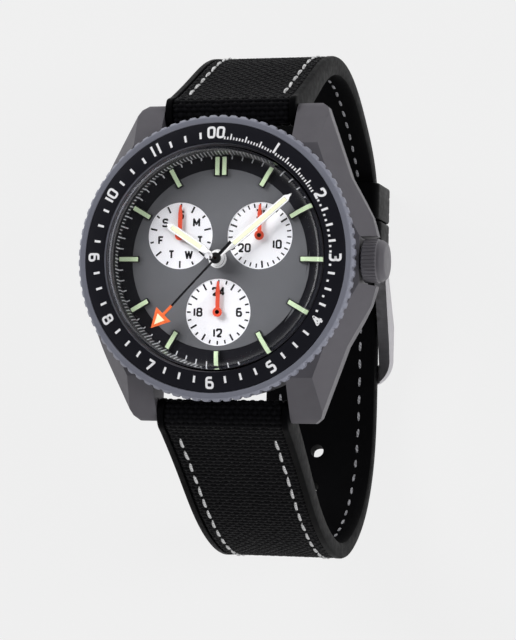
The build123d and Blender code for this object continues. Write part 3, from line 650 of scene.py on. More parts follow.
def sub_dials():
    """Three white sub-dials: weekday, date and 24 hours."""
    for name, at in (("day", DAY), ("date", DATE), ("hour24", H24)):
        sub_disc(name, at)
    week, month = 360 / 7, 360 / 31
    ticks = [((k + 0.5) * week, 3.62, 0.25) for k in range(7)]
    ticks += [(k * week, 4.1, 0.25) for k in range(7)]
    words = [(k * week, 3.0, c) for k, c in enumerate("SMTWTFS")]
    sub_print("day", DAY, ticks, words, 1.0)
    long, short = (3.62, 0.26), (4.02, 0.2)
    ticks = [(k * month, *(long if k in (5, 15, 25) else short)) for k in range(31)]
    words = [(10 * month, 2.85, "10"), (20 * month, 2.85, "20"), (0, 3.1, "31")]
    sub_print("date", DATE, ticks, words, 1.04)
    short = (4.08, 0.22)
    ticks = [(15 * k, *(long if k % 2 == 0 and k % 6 else short)) for k in range(24)]
    words = [(0, 2.95, "24"), (90, 3.1, "6"), (180, 2.95, "12"), (270, 3.0, "18")]
    sub_print("hour24", H24, ticks, words, 1.04)


def cut(obj, cutters):
    """Subtracts closed (points, faces) solids from obj, and keeps the result."""
    heap = Heap(*cutters)
    tool = placed("cutter", mesh_of("cutter", heap.points, heap.faces))
    modifier = obj.modifiers.new("cut", "BOOLEAN")
    modifier.object, modifier.solver, modifier.operation = tool, "EXACT", "DIFFERENCE"
    modifier.use_self = True
    bpy.context.view_layer.update()
    evaluated = obj.evaluated_get(bpy.context.evaluated_depsgraph_get())
    result = bpy.data.meshes.new_from_object(evaluated)
    obj.modifiers.clear()
    obj.data = result
    bpy.data.objects.remove(tool)
    shaded(result, 35)


def prism(lower, upper):
    """Closed solid between two rings of equally many points."""
    n = len(lower)
    faces = [(k, (k + 1) % n, n + (k + 1) % n, n + k) for k in range(n)]
    return lower + upper, faces + end_caps(n, 2 * n)


def upright(radius, z0, z1, at, sides):
    return prism(*[[(at[0] + x, at[1] + y, z) for x, y in circle(radius, sides)] for z in (z0, z1)])


def rod_solid(radius, y, z):
    """Rod along X, longer than the strap is wide."""
    return prism(*[[(x, y + a, z + b) for a, b in circle(radius, 32)] for x in (-12, 12)])


def capsule_solid(radius, y0, y1, z0, z1):
    ring = arc((0, y1), radius, 0, 180, 16) + arc((0, y0), radius, 180, 360, 16)
    return prism(*[[(x, y, z) for x, y in ring] for z in (z0, z1)])


def slanted(radius, at, normal):
    """Cylinder square to the strap's face at a point of its side view."""
    rings = []
    for lift in (-4.0, 2.0):
        y, z = at + normal * lift
        rings.append([(a, y - normal[1] * b, z + normal[0] * b) for a, b in circle(radius, 40)])
    points, faces = prism(*rings)
    return points, [f[::-1] for f in faces]


def box_solid(x0, x1, y0, y1, z0, z1):
    points = [(x, y, z) for x in (x0, x1) for y in (y0, y1) for z in (z0, z1)]
    faces = [(0, 1, 3, 2), (4, 6, 7, 5), (0, 4, 5, 1), (2, 3, 7, 6), (0, 2, 6, 4), (1, 5, 7, 3)]
    return points, faces


def dial():
    """Grey centre over the black dial, cut out for the sub-dials; track on the flange."""
    top, under = DIAL_Z + 0.03, DIAL_Z - 0.04
    profile = [(0.0, top), (12.98, top), (13.0, top - 0.012), (13.0, under), (0.0, under)]
    centre = build("dial_centre", *solid_disc(profile, 256), "case", DIAL_GREY, "dial_black")
    holes = [upright(4.8, 7, 8, at, 128) for at in (DAY, DATE, H24)]
    cut(centre, holes + [upright(1.05, 7, 8, (0, 0), 64)])
    heap = Heap()
    slope = [(15.0 + 0.22 * s, DIAL_Z + 2.2 * s) for s in (0.03, 0.3, 0.6, 0.97)]
    for k in range(180):
        long = k % 3 == 0
        run = slope if long else slope[1:]
        half = 0.085 if long else 0.065
        points = []
        for r, z in run:
            for side, lift in ((-1, 0.016), (1, 0.016), (1, -0.02), (-1, -0.02)):
                t = math.radians(2 * k) + side * half / r
                points.append(((r - lift) * math.sin(t), (r - lift) * math.cos(t), z))
        faces = grid_faces(len(run), 4, wrap_columns=True).tolist()
        heap.add(points, [f[::-1] for f in faces + end_caps(4, len(points))])
        if long and k % 15:
            stroke(heap, [(0, 14.5), (0, 14.97)], 2 * half, on_dial(0, 0, DIAL_Z, 2 * k))
    build("minute_track", heap.points, heap.faces, "case", SILVER_PRINT, "white_paint")


def crystal():
    """Box-shaped domed crystal, written from the axis, under the dome and back over the top."""
    foot = 8.15

    def wall(radius, edge, top, rim, turns, rises):
        """Half section from the axis over a rounded rim to the foot."""
        shoulder = radius - rim
        turn = dome(radius, edge, top, shoulder) - rim
        cap = [(r, dome(radius, edge, top, r)) for r in np.linspace(0, shoulder, 26)[1:-1]]
        side = [(radius, z) for z in np.linspace(turn, foot, rises + 1)[1:]]
        return [(0.0, top)] + cap + arc((shoulder, turn), rim, 90, 0, turns) + side

    inner = wall(15.45, CRYSTAL_TOP - 2.2, CRYSTAL_TOP - 1.3, 1.4, 20, 3)
    outer = wall(15.95, CRYSTAL_TOP - 1.05, CRYSTAL_TOP, 1.9, 24, 4)
    shell = solid_disc(inner + outer[::-1], 256)
    build("crystal_glass", *shell, "case", GLASS, "crystal_clear", 50, ("crystal",))


def bezel():
    """Ring with close-set round notches, and the conical insert it carries."""
    notches, notch_r, notch_at = 84, 0.42, BEZEL_R + 0.12
    step = 2 * math.pi / notches
    seat, lip = BEZEL_TOP - 0.78, INSERT_OUT + 0.06
    profile = [
        (17.4, 7.4), (19.7, 7.4), (BEZEL_R, 9.5), (BEZEL_R, 10.35), (20.05, BEZEL_TOP),
        (lip, BEZEL_TOP), (lip, BEZEL_TOP - 0.48), (INSERT_IN, BEZEL_TOP - 0.1),
        (INSERT_IN, seat), (17.4, seat),
    ]

    def notch(r, z, a):
        off = (a + step / 2) % step - step / 2
        reach = notch_r**2 - (notch_at * math.sin(off)) ** 2
        if reach <= 0 or r < 19.8:
            return r, z
        return min(r, notch_at * math.cos(off) - math.sqrt(reach)), z

    ring = lathe(eased(profile, 0.16, True, 3), notches * 16, notch)
    build("bezel_rim", *ring, "bezel", RING, "bezel_grey", 32, ("bezel_ring",))
    profile = [
        (INSERT_OUT, BEZEL_TOP - 0.48), (INSERT_OUT, BEZEL_TOP - 0.01),
        (INSERT_IN, BEZEL_TOP + 0.44), (INSERT_IN, BEZEL_TOP - 0.08),
    ]
    plate = lathe(eased(profile, 0.06, True, 3), 256)
    build("bezel_insert_plate", *plate, "bezel", INSERT, "insert_black", 32, ("bezel_insert",))


def crown():
    """Fluted grip with a broad plain domed end, as (radius, x) about the stem's axis."""
    profile = [(0.0, 20.75), (1.8, 20.75), (3.0, 20.75), (3.15, 20.9)]
    profile += [(3.15, x) for x in np.linspace(21.0, 22.7, 6)]
    end = [(3.12, 22.8), (2.98, 22.92), (2.98, 23.3), (2.5, 24.02), (1.2, 24.1), (0.0, 24.1)]
    profile += eased(end, 0.25)

    def flute(r, x, a):
        if r > 3.1:
            fade = min(1.0, max(0.0, (22.78 - x) / 0.12), max(0.0, (x - 20.84) / 0.08))
            r -= 0.15 * max(0.0, math.cos(36 * a)) ** 0.8 * fade
        return (x, r * math.sin(a), CROWN_Z + r * math.cos(a))

    points, faces = turned(profile, 36 * 10, flute)
    faces = [f[::-1] for f in faces]
    build("crown_grip", points, faces, "crown", CASE, "bezel_grey", 40, ("crown",))


# ---------------------------------------------------------------------- strap
def half_width(z):
    return LUG_HALF - TAPER * (TAPER_FROM - z) / TAPER_OVER


def thickness(distance):
    return THIN + THICKER * np.maximum(0.0, 1 - distance / THINS_OVER) ** 1.4


class Outline:
    """A strap's outer face in side view: (y, z) points and outward normals by distance.

    Distance 0 is at the first knot; the loop round the spring bar lies before it.
    """

    def __init__(self, side, knots, start, end_y, end_slope):
        knots = np.array(knots, float)
        self.side = side
        chord = np.concatenate([[0], np.cumsum(np.linalg.norm(np.diff(knots, axis=0), axis=1))])
        t = np.linspace(0, chord[-1], 1600)
        curve = self.clamped(chord, knots, unit(np.array(start)), np.array(end_slope), t)
        count = int(abs(end_y - curve[-1, 0]) / 0.02)
        ys = np.linspace(curve[-1, 0], end_y, count + 1)[1:]
        straight = np.stack([ys, np.full_like(ys, curve[-1, 1])], 1)
        # From the case side of the spring bar, over the top and down to the first knot.
        turn = np.radians(np.linspace(-32, 90, 60))
        bar = np.array([side * BAR_Y, BAR_Z])
        loop = bar + 1.6 * np.stack([-side * np.cos(turn), np.sin(turn)], 1)
        crest = self.through([loop[-1], (side * 22.7, 4.75), (side * 24.0, 4.15), knots[0]])
        self.points = np.vstack([loop, crest[1:], curve[1:], straight])
        gaps = np.linalg.norm(np.diff(self.points, axis=0), axis=1)
        self.s = np.concatenate([[0], np.cumsum(gaps)])
        self.s -= self.s[len(loop) + len(crest) - 2]
        self.first, self.last = self.s[0], self.s[-1]
        tangent = unit(np.gradient(self.points, self.s, axis=0))
        self.normals = np.stack([-tangent[:, 1], tangent[:, 0]], 1)
        middle = np.array([0.0, -26.0])
        if ((self.points - middle) * self.normals).sum(1).mean() < 0:
            self.normals = -self.normals

    @staticmethod
    def clamped(u, p, start, end, t):
        """Cubic spline through p at u with given end slopes, read at t."""
        n, h = len(u), np.diff(u)
        slopes = np.diff(p, axis=0) / h[:, None]
        a, b = np.zeros((n, n)), np.zeros((n, 2))
        a[0, :2], a[-1, -2:] = (2 * h[0], h[0]), (h[-1], 2 * h[-1])
        b[0], b[-1] = 6 * (slopes[0] - start), 6 * (end - slopes[-1])
        for i in range(1, n - 1):
            a[i, i - 1 : i + 2] = h[i - 1], 2 * (h[i - 1] + h[i]), h[i]
            b[i] = 6 * (slopes[i] - slopes[i - 1])
        m = np.linalg.solve(a, b)
        k = np.clip(np.searchsorted(u, t, side="right") - 1, 0, n - 2)
        d, hk = (t - u[k])[:, None], h[k][:, None]
        slope = slopes[k] - hk * (2 * m[k] + m[k + 1]) / 6
        return p[k] + slope * d + m[k] / 2 * d**2 + (m[k + 1] - m[k]) / (6 * hk) * d**3

    @staticmethod
    def through(knots):
        """Smooth short run through knots."""
        p = np.array(knots, float)
        padded = np.vstack([2 * p[0] - p[1], p, 2 * p[-1] - p[-2]])
        out = []
        for i in range(len(p) - 1):
            a, b, c, d = padded[i : i + 4]
            square, cube = 2 * a - 5 * b + 4 * c - d, 3 * b - a - 3 * c + d
            for t in np.linspace(0, 1, 24, endpoint=False):
                out.append(0.5 * (2 * b + (c - a) * t + square * t * t + cube * t**3))
        return np.array(out + [p[-1]])

    def at(self, s):
        """(y, z) and outward normals at distances s."""
        point, normal = [
            np.stack([np.interp(s, self.s, table[:, i]) for i in (0, 1)], -1)
            for table in (self.points, self.normals)
        ]
        return point, unit(normal)

    def lay(self, x, s, depth):
        """Points at x across, s along and a depth under the outer face."""
        point, normal = self.at(s)
        q = point - normal * np.asarray(depth)[..., None]
        return np.stack([np.asarray(x) + 0 * q[..., 0], q[..., 0], q[..., 1]], -1)

    def width(self, s, inset=0.0):
        """Half width at distances s, less an inset; the long tail has a round end."""
        point, _ = self.at(s)
        y, z = point[..., 0], point[..., 1]
        w = half_width(z) - inset
        if self.side < 0:
            reach, radius = TAIL_END - inset, 10.6 - inset
            inside = radius**2 - np.clip(y - (reach - radius), 0, radius) ** 2
            end = np.sqrt(np.maximum(inside, 0.0))
            w = np.where((z < TAIL_Z) & (y > 0), np.minimum(w, end), w)
        return w


SHORT = Outline(
    1,
    [(24.6, 2.6), (29.4, -6.9), (33.6, -16.0), (34.8, -24.0), (32.9, -34.2), (27.6, -43.8),
     (21.8, -50.8), (15.0, SHORT_OUT)],
    (0.42, -0.9), HINGE_Y, (-1, 0),
)
LONG = Outline(
    -1,
    [(-25.0, 2.6), (-31.1, -6.1), (-37.2, -14.5), (-41.9, -24.0), (-43.6, -33.0),
     (-41.6, -42.3), (-36.0, -50.6), (-28.0, -55.3), (-18.0, TAIL_OUT)],
    (-0.55, -0.83), TAIL_END, (1, 0),
)


def strap_hole(y):
    """Middle of a tail hole on the long half's outer face, and the outward normal there."""
    if y > FLAT_Y:
        return np.array([y, TAIL_OUT]), np.array([0.0, -1.0])
    k = np.argmin(np.abs(LONG.points[:, 0] - y) + 100 * (LONG.points[:, 1] > BEND_Z))
    return LONG.points[k], LONG.normals[k]


def strap_base(line, name, body, fabric_end):
    """Rubber body: rounded edges, a rim round the woven face, a plain inner face."""
    joint = line.last
    stations = np.concatenate([
        np.linspace(line.first, 0, 22, endpoint=False),
        np.linspace(0, joint - 12, 190, endpoint=False),
        joint - 12 * (1 - np.sin(np.linspace(0, math.pi / 2, 44))),
    ])
    if line is LONG:
        stations = stations[stations < joint - 0.02]
    outer, normal = line.at(stations)
    deep = thickness(np.maximum(0.0, stations))
    inner = outer - normal * deep[:, None]
    # Round the bar, the inner side stays in one place under the loop.
    corner = inner[np.searchsorted(stations, 0.0)]
    loop = stations < 0
    share = (stations[loop] - line.first) / (0 - line.first)
    foot = np.array([line.side * 20.35, 1.35])
    inner[loop] = foot + (corner - foot) * share[:, None]
    inner_normal = -normal
    inner_normal[loop] = unit(inner[loop] - np.array([line.side * BAR_Y, BAR_Z]))
    if line is SHORT:
        # The end turns round the buckle pin.
        half = THIN / 2
        pin = np.array([HINGE_Y, SHORT_OUT + half])
        swing = np.radians(np.linspace(12, 78, 7))
        below, above = [np.stack([-np.sin(swing), up * np.cos(swing)], 1) for up in (-1, 1)]
        outer = np.vstack([outer, pin + half * below])
        inner = np.vstack([inner, pin + half * above])
        normal, inner_normal = np.vstack([normal, below]), np.vstack([inner_normal, above])
        stations, deep = [np.pad(v, (0, len(swing)), "edge") for v in (stations, deep)]
    w = np.maximum(line.width(stations), 0.9)
    cloth = (stations > line.first + 0.3) & (stations < fabric_end)
    # Across the outer face: inset from the edge, depth beside the cloth and depth elsewhere.
    section = [
        (0.0, 0.34, 0.34), (0.10, 0.10, 0.10), (0.34, 0.0, 0.0), (0.90, 0.0, 0.0),
        (0.98, 0.06, 0.0), (1.0, 0.62, 0.0), (3.0, 0.62, 0.0),
    ]
    # Across the inner face: inset from the edge and depth.
    lining = [(0.0, 0.55), (0.16, 0.16), (0.55, 0.0), (2.2, 0.0), (6.0, 0.0)]
    points = []
    for i in range(len(stations)):
        left = []
        for inset, clothed, bare in section:
            y, z = outer[i] - normal[i] * (clothed if cloth[i] else bare)
            left.append((-max(w[i] - inset, 0.02), y, z))
        under = []
        for inset, depth in lining:
            y, z = inner[i] - inner_normal[i] * min(depth, deep[i])
            under.append((max(w[i] - inset, 0.01), y, z))
        points += left + [(-x, y, z) for x, y, z in left[::-1]]
        points += under + [(-x, y, z) for x, y, z in under[::-1]]
    n, count = len(stations), 2 * (len(section) + len(lining))
    faces = grid_faces(n, count, wrap_columns=True).tolist()
    # Close both ends with quads between the outer and inner halves.
    for base, turn in ((0, 1), ((n - 1) * count, -1)):
        for k in range(count // 2 - 1):
            quad = (base + k, base + count - 1 - k, base + count - 2 - k, base + k + 1)
            faces.append(quad[::turn])
    faces = [f[:: -line.side] for f in faces]
    return build(name, points, faces, body, RUBBER, "black_rubber", 38)


def relief(x, s):
    """Woven height 0..1 and which way the top thread runs (0 weft, 1 warp)."""
    pitch_x, pitch_s = 1.38, 0.80
    row = np.floor(s / pitch_s)
    v = s / pitch_s - row - 0.5
    u = np.mod(x / pitch_x + 0.5 * np.mod(row, 2), 1.0) - 0.5
    weft = 1 - (u * pitch_x / 0.60) ** 2 - (v * pitch_s / 0.41) ** 2
    weft = np.sqrt(np.clip(weft, 0, 1))
    # Warp shows between floats, and under the rows on either side.
    edge = 0.5 - np.abs(u)
    warp = 1 - (edge * pitch_x / 0.25) ** 2 - (v * pitch_s / 0.60) ** 2
    warp = 0.72 * np.sqrt(np.clip(warp, 0, 1))
    return np.maximum(weft, warp), (warp > weft).astype(float)


def woven_face(line, name, body, end_s, replaced):
    """Basket-woven face as real relief, one grid step every 0.17 mm."""
    step, half_columns = 0.17, 53
    start_s = line.first + 0.55
    rows = np.append(np.arange(start_s, end_s, step), end_s)
    base = np.arange(-half_columns, half_columns + 1) * step
    w = np.maximum(line.width(rows, 1.02), 0.4)[:, None]
    # In the narrow end of the tail the columns share the width evenly.
    scale = np.minimum(1.0, w / (half_columns * step))
    x = np.where(w < 8.2, base * scale, np.clip(base, -w, w))
    s = np.repeat(rows[:, None], x.shape[1], 1)
    rng = np.random.default_rng(7)
    wander = rng.normal(0, 1, (len(rows) // 8 + 2, x.shape[1] // 8 + 2))
    wobble = np.kron(wander, np.ones((8, 8)))[: x.shape[0], : x.shape[1]]
    for axis in (0, 1):
        for _ in range(6):
            wobble = (np.roll(wobble, 1, axis) + wobble + np.roll(wobble, -1, axis)) / 3
    height, way = relief(x + 0.10 * wobble, s + 0.07 * np.roll(wobble, 5, 1))
    edge = np.clip((w - np.abs(x)) / 0.35, 0, 1)
    ends = np.clip((end_s - s) / 0.5, 0, 1) * np.clip((s - start_s) / 0.3, 0, 1)
    hem = np.minimum(edge, ends)
    height = height * (0.35 + 0.65 * hem)
    points = line.lay(x, s, 0.40 - 0.37 * height + 0.06 * (1 - hem)).reshape(-1, 3)
    faces = grid_faces(*x.shape)
    if line is LONG:
        faces = pierced(points, faces)
    faces = [f[:: -line.side] for f in faces.tolist()]
    obj = build(name, points, faces, body, WEAVE, "woven_black", 180, replaced)
    mesh = obj.data
    loops = np.zeros(len(mesh.loops), np.int32)
    mesh.loops.foreach_get("vertex_index", loops)
    flat = np.stack([x.ravel(), s.ravel()], 1)[loops]
    mesh.uv_layers.new(name="strap").data.foreach_set("uv", flat.astype(np.float32).ravel())
    # The relief height is also read by the weave's colour, where it paints shade in the hollows and
    # highlight on the tops.
    for label, values in (("relief", height), ("thread", way)):
        attribute = mesh.attributes.new(label, "FLOAT", "POINT")
        attribute.data.foreach_set("value", values.astype(np.float32).ravel())


def pierced(points, faces):
    """Faces that stay round the tail's holes and slot; moves points onto the holes' rims."""
    low = points[:, 2] <= BEND_Z
    keep = np.ones(len(faces), bool)
    for y in HOLE_YS:
        mid, out = strap_hole(y)
        along = np.array([-out[1], out[0]])
        lateral = (points[:, 1:] - mid) @ along
        d = np.where(low, np.hypot(points[:, 0], lateral), 99.0)
        inside = d < HOLE_R
        keep &= ~inside[faces].all(1)
        grow = np.where(inside & (d > 1e-4), HOLE_R / np.maximum(d, 1e-4), 1.0)
        points[:, 0] *= grow
        points[:, 1:] += (lateral * (grow - 1))[:, None] * along
    x, y, z = points.T
    slot = (np.abs(x) < SLOT_R) & (y > SLOT_Y0 - SLOT_R) & (y < SLOT_Y1 + SLOT_R)
    slot &= z < TAIL_Z
    return faces[keep & ~slot[faces].all(1)]


def stitches(line, name, body, end_s, outside):
    """Rows of short twisted stitches along both sides of one face."""
    heap = Heap()
    pitch, run = 3.0, 2.35 if outside else 1.8
    rng = np.random.default_rng(11 if outside else 12)
    s = np.linspace(STITCH_START, end_s, 4000)
    x = line.width(s) - 2.65
    s, x = s[x > 0.25], x[x > 0.25]
    length = np.concatenate([[0], np.cumsum(np.hypot(np.diff(s), np.diff(x)))])
    arch = np.sin(np.linspace(0.0, math.pi, 9)) ** 0.45
    for side in (-1, 1):
        at = 0.4
        while at + run < length[-1]:
            ts = at + run * np.linspace(0, 1, 9) * rng.uniform(0.94, 1.0)
            ss, xs = np.interp(ts, length, s), np.interp(ts, length, x)
            lean = rng.uniform(-0.07, 0.07) * np.linspace(-1, 1, 9)
            depth = 0.30 - 0.30 * arch if outside else thickness(ss) - 0.16 + 0.17 * arch
            path = line.lay(side * (xs + lean), ss, depth)
            _, normal = line.at(ss[4])
            heap.add(*tube(path, 0.07 + (0.17 if outside else 0.15) * arch, (0, *normal)))
            at += pitch
    # Inner stitches take the darker copy of the thread, which is painted shade.
    material = THREAD if outside else LINING_THREAD_SHADED
    build(name, heap.points, heap.faces, body, material, "woven_black", 60)


def straps():
    end_short, end_long = SHORT.last - (11.5 - HINGE_Y), LONG.last - 1.02
    short = strap_base(SHORT, "strap_short_rubber", "strap_short", end_short)
    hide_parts("strap_short_base")
    slot_box = box_solid(-1.5, 1.5, -2.0, HINGE_Y + 2.2, -60, -45)
    pin = rod_solid(0.72, HINGE_Y, SHORT_OUT + THIN / 2)
    cut(short, [slot_box, pin, rod_solid(0.85, BAR_Y, BAR_Z)])
    woven_face(SHORT, "strap_short_weave", "strap_short", end_short, ("strap_short_fabric",))
    long = strap_base(LONG, "strap_long_rubber", "strap_long", end_long)
    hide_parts("strap_long_base")
    cutters = [rod_solid(0.85, -BAR_Y, BAR_Z)]
    cutters += [slanted(HOLE_R, *strap_hole(y)) for y in HOLE_YS]
    cut(long, cutters + [capsule_solid(SLOT_R, SLOT_Y0, SLOT_Y1, -60, -50)])
    woven_face(LONG, "strap_long_weave", "strap_long", end_long, ("strap_long_fabric",))
    for line, half, end in ((SHORT, "short", end_short - 1.5), (LONG, "long", end_long)):
        for face in ("outer", "lining"):
            name = f"stitching_{half}_{face}"
            stitches(line, name, "strap_" + half, end, face == "outer")


def keeper(name, body, y0, y1, inner_top, replaced):
    """Moulded rubber loop: rounded edges, two fine grooves round the outside."""
    low, high = REST_Z, inner_top + 1.0
    ends = 0.42

    def loop(y, half, z0, z1, radius):
        ring = []
        for turn, (side, z) in enumerate(((1, z1), (-1, z1), (-1, z0), (1, z0))):
            centre = (side * (half - radius), z + (-radius if z == z1 else radius))
            ring += arc(centre, radius, 90 * turn, 90 * turn + 90, 8)
        return [(x, y, z) for x, z in ring]

    across = [(y0, ends), (y0 + 0.12, 0.13), (y0 + ends, 0.0)]
    for k in range(1, 20):
        y = y0 + ends + (y1 - y0 - 2 * ends) * k / 20
        across.append((y, 0.05 if k in (5, 15) else 0.0))
    across += [(y1 - ends, 0.0), (y1 - 0.12, 0.13), (y1, ends)]
    rows = [loop(y, 10.7 - i, low + i, high - i, 1.4 - i * 0.6) for y, i in across]
    for y, i in ((y1, 0.12), ((y0 + y1) / 2, 0.0), (y0, 0.12)):
        rows.append(loop(y, 9.95 + i, TAIL_OUT - 0.3 - i, inner_top + i, 0.35))
    faces = grid_faces(len(rows), len(rows[0]), True, True)[:, ::-1].tolist()
    points = [p for row in rows for p in row]
    build(name, points, faces, body, RUBBER_GLOSS, "black_rubber", 40, (replaced,))


# ---------------------------------------------------------------- CAD finishes
def smooth_group():
    """Node group that shades a mesh smooth up to an edge angle."""
    group = bpy.data.node_groups.new("shade_by_angle", "GeometryNodeTree")
    group.interface.new_socket("Geometry", in_out="INPUT", socket_type="NodeSocketGeometry")
    group.interface.new_socket("Geometry", in_out="OUTPUT", socket_type="NodeSocketGeometry")
    add = group.nodes.new
    first, last = add("NodeGroupInput"), add("NodeGroupOutput")
    faces, edges = add("GeometryNodeSetShadeSmooth"), add("GeometryNodeSetShadeSmooth")
    edges.domain = "EDGE"
    angle, compare = add("GeometryNodeInputMeshEdgeAngle"), add("FunctionNodeCompare")
    compare.operation = "GREATER_THAN"
    compare.inputs["B"].default_value = math.radians(33)
    link = group.links.new
    link(first.outputs[0], faces.inputs["Geometry"])
    link(faces.outputs[0], edges.inputs["Geometry"])
    link(angle.outputs["Unsigned Angle"], compare.inputs["A"])
    link(compare.outputs[0], edges.inputs["Selection"])
    edges.inputs["Shade Smooth"].default_value = False
    link(edges.outputs[0], last.inputs[0])
    return group


SMOOTH = smooth_group()
SLOT_OF = {s["node"]: s["material_slot"] for s in frame["record"]["subparts"]}


def dress(node, material, bevel=0.0):
    """Finish for a CAD node, with softened edges where bevel is above 0."""
    obj = NODES[node]
    mesh = obj.data
    mesh.materials.clear()
    mesh.materials.append(material)
    if not bevel:
        return
    if "custom_normal" in mesh.attributes:
        mesh.attributes.remove(mesh.attributes["custom_normal"])
    weld = obj.modifiers.new("weld", "WELD")
    weld.merge_threshold = 2e-6
    flat = obj.modifiers.new("flat", "DECIMATE")
    flat.decimate_type, flat.angle_limit = "DISSOLVE", math.radians(0.8)
    edge = obj.modifiers.new("edge", "BEVEL")
    edge.width, edge.segments, edge.use_clamp_overlap = bevel * MM, 2, True
    edge.limit_method, edge.angle_limit = "ANGLE", math.radians(25)
    nodes = obj.modifiers.new("smooth", "NODES")
    nodes.node_group = SMOOTH
    weighted = obj.modifiers.new("weighted", "WEIGHTED_NORMAL")
    weighted.keep_sharp = True


PLAIN = {
    "case_grey": CASE, "bezel_grey": RING, "insert_black": INSERT, "crystal_clear": GLASS,
    "steel": STEEL, "brass": BRASS, "black_rubber": RUBBER, "woven_black": WEAVE,
    "dial_black": DIAL_BLACK, "lume": LUME, "white_paint": WHITE, "red_paint": RED,
    "black_paint": FRAME_BLACK, "white_plastic": PLASTIC, "green_board": BOARD, "copper": COPPER,
}
SPECIAL = {
    "case_back": (BACK, 0.08), "case_middle": (CASE, 0.16), "hour_hand": (WHITE, 0.06),
    "minute_hand": (WHITE, 0.06), "second_hand": (SECOND, 0.02), "day_hand": (RED, 0.02),
    "date_hand": (RED, 0.02), "hour24_hand": (RED, 0.02), "hour_hand_lume": (LUME_HAND, 0.02),
    "minute_hand_lume": (LUME_HAND, 0.02), "second_hand_lume": (LUME_TIP, 0.02),
    "index_frames": (FRAME_BLACK, 0.02), "index_lume": (LUME, 0.02),
    "buckle_frame": (BUCKLE, 0.3), "buckle_tongue": (BUCKLE, 0.12), "buckle_pin": (STEEL, 0.08),
    "spring_bars": (STEEL, 0.05),
}
for node_name in NODES:
    paint, softened = SPECIAL.get(node_name, (PLAIN[SLOT_OF[node_name]], 0.0))
    dress(node_name, paint, softened)

bezel()
bezel_print()
crystal()
dial()
sub_dials()
crown()
straps()
keeper("keeper_fixed", "strap_short", 6.5, 12.4, SHORT_OUT + THIN, "fixed_keeper")
keeper("keeper_sliding", "floating_keeper", 12.5, 18.6, SHORT_OUT + THIN + 2.1, "floating_keeper")


# ---------------------------------------------------------------------- studio
# Mirror rays also meet a bright card beyond the crown side, stretched along Y. Its light
# falls from the core to the edge, which are cosines of the angle from its middle.
CARD_TOWARDS, CARD_STRETCH, CARD_LIGHT = (0.9998, 0.0, 0.02), 0.3, 2.4
CARD_EDGE, CARD_HALF, CARD_CORE = 0.966, 0.976, 0.986
# How much of its own white the floor shows to the camera and to blurred reflections.
FLOOR_WHITE, FLOOR_SEEN, FLOOR_BLURRED = (0.875, 0.875, 0.875, 1), 0.93, 0.35


def stage():
    """Pale floor and a sky that darkens overhead."""
    size = 3000.0
    corners = [(x * size, y * size, REST_Z) for x, y in ((-1, -1), (1, -1), (1, 1), (-1, 1))]
    floor = placed("floor", mesh_of("floor", corners, [(0, 1, 2, 3)]))
    paint = Paint("floor_paper", FLOOR_WHITE, 0.9)
    paint.bump((paint.noise(1.5), 0.01))
    glow = paint.add("Emission", {"Color": FLOOR_WHITE, "Strength": 1.0})
    rays = paint.add("LightPath").outputs
    seen = paint.maths("MULTIPLY", rays["Is Camera Ray"], FLOOR_SEEN)
    seen = paint.maths("MAXIMUM", seen, rays["Is Singular Ray"])
    blurred = paint.maths("MULTIPLY", rays["Is Glossy Ray"], FLOOR_BLURRED)
    paint.mix_in(paint.maths("MAXIMUM", seen, blurred), glow)
    floor.data.materials.append(paint.mat)
    world = bpy.data.worlds.new("studio")
    scene.world = world
    world.use_nodes = True
    sky = Nodes(world.node_tree)

    def levels(fac, *stops):
        return sky.ramp(fac, *[(at, (level, level, level * 1.02, 1)) for at, level in stops])

    direction = sky.add("TexCoord").outputs["Generated"]
    height = sky.xyz(direction)["Z"]
    soft = levels(height, (0.15, 0.62), (0.45, 0.30), (0.75, 0.035))
    sharp = levels(height, (0.0, 1.3), (0.25, 0.5), (0.45, 0.2), (0.75, 0.035))
    squeezed = sky.vector("MULTIPLY", {0: direction, 1: (1.0, CARD_STRETCH, 1.0)})[0]
    towards = sky.vector("NORMALIZE", {0: squeezed})[0]
    near = sky.vector("DOT_PRODUCT", {0: towards, 1: CARD_TOWARDS})["Value"]
    card = levels(near, (CARD_EDGE, 0.0), (CARD_HALF, 0.35), (CARD_CORE, 1.0))
    glare = sky.vector("SCALE", {0: card, "Scale": CARD_LIGHT})[0]
    mirrored = sky.vector("ADD", {0: sharp, 1: glare})[0]
    singular = sky.add("LightPath").outputs["Is Singular Ray"]
    background = sky.tree.nodes["Background"].inputs
    sky.put(background["Color"], sky.blend(singular, soft, mirrored))
    sky.put(background["Strength"], 1.0)


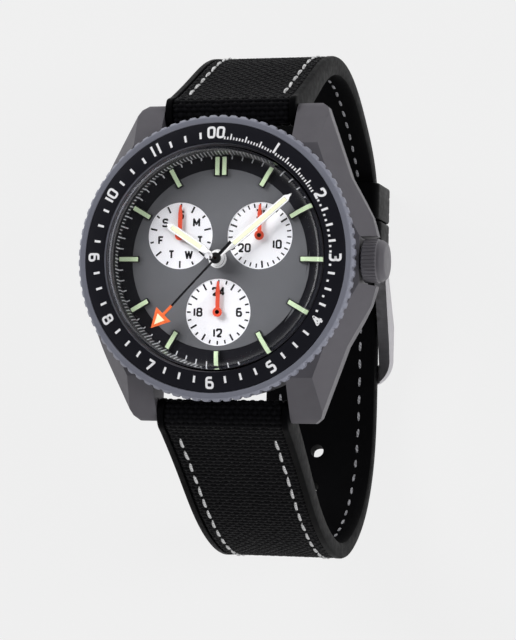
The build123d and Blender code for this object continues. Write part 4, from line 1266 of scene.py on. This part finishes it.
def lamp(name, at, aim, size, power, only=()):
    """Soft lamp that isn't seen in the glass; it may light some pieces only."""
    data = bpy.data.lights.new(name, "AREA")
    data.shape, data.size, data.size_y = "RECTANGLE", size[0], size[1]
    data.energy = power
    obj = placed(name, data)
    obj.visible_glossy = obj.visible_transmission = False
    obj.location = at
    obj.rotation_mode = "QUATERNION"
    obj.rotation_quaternion = (Vector(aim) - Vector(at)).to_track_quat("-Z", "Y")
    if only:
        group = bpy.data.collections.new(name + "_receivers")
        for piece in only:
            group.objects.link(piece)
        obj.light_linking.receiver_collection = group


stage()
KEY_AT, KEY_SIZE = (-0.42, 0.36, 0.30), (0.40, 0.30)
lamp("key_lamp", KEY_AT, (0, 0, 0), KEY_SIZE, 2.7)
# The glass hides part of the key light, so what lies under it has its own share.
UNDER_GLASS = (
    "dial", "flange_ring", "index_frames", "index_lume", "hour_hand", "hour_hand_lume",
    "minute_hand", "minute_hand_lume", "second_hand", "second_hand_lume", "day_hand",
    "date_hand", "hour24_hand", "dial_centre", "minute_track", "subdial_day", "subdial_date",
    "subdial_hour24", "day_print", "date_print", "hour24_print",
)
under_glass = [NODES[n] if n in NODES else bpy.data.objects[n] for n in UNDER_GLASS]
lamp("dial_lamp", KEY_AT, (0, 0, 0), KEY_SIZE, 6.2, under_glass)
lamp("side_lamp", (0.42, 0.02, 0.34), (0, 0, -0.01), (0.16, 0.40), 1.7)
lamp("front_lamp", (0.05, -0.50, 0.30), (0, 0, -0.02), (0.50, 0.20), 0.8)

# The picture's camera, in metres.
CAMERA_AT, CAMERA_BACK = (0.08933, -0.03028, 0.30851), (0.26658, -0.06910, 0.96133)
CAMERA_UP, CAMERA_LENS = (-0.00581, 0.99729, 0.07330), 123.66
camera = placed("camera", bpy.data.cameras.new("camera"))
scene.camera = camera
camera.data.lens, camera.data.sensor_width, camera.data.sensor_fit = CAMERA_LENS, 36.0, "AUTO"
camera.data.clip_start, camera.data.clip_end = 0.01, 20.0
back = Vector(CAMERA_BACK).normalized()
right = Vector(CAMERA_UP).cross(back).normalized()
turn = Matrix((right, back.cross(right), back)).transposed().to_4x4()
camera.matrix_world = Matrix.Translation(CAMERA_AT) @ turn
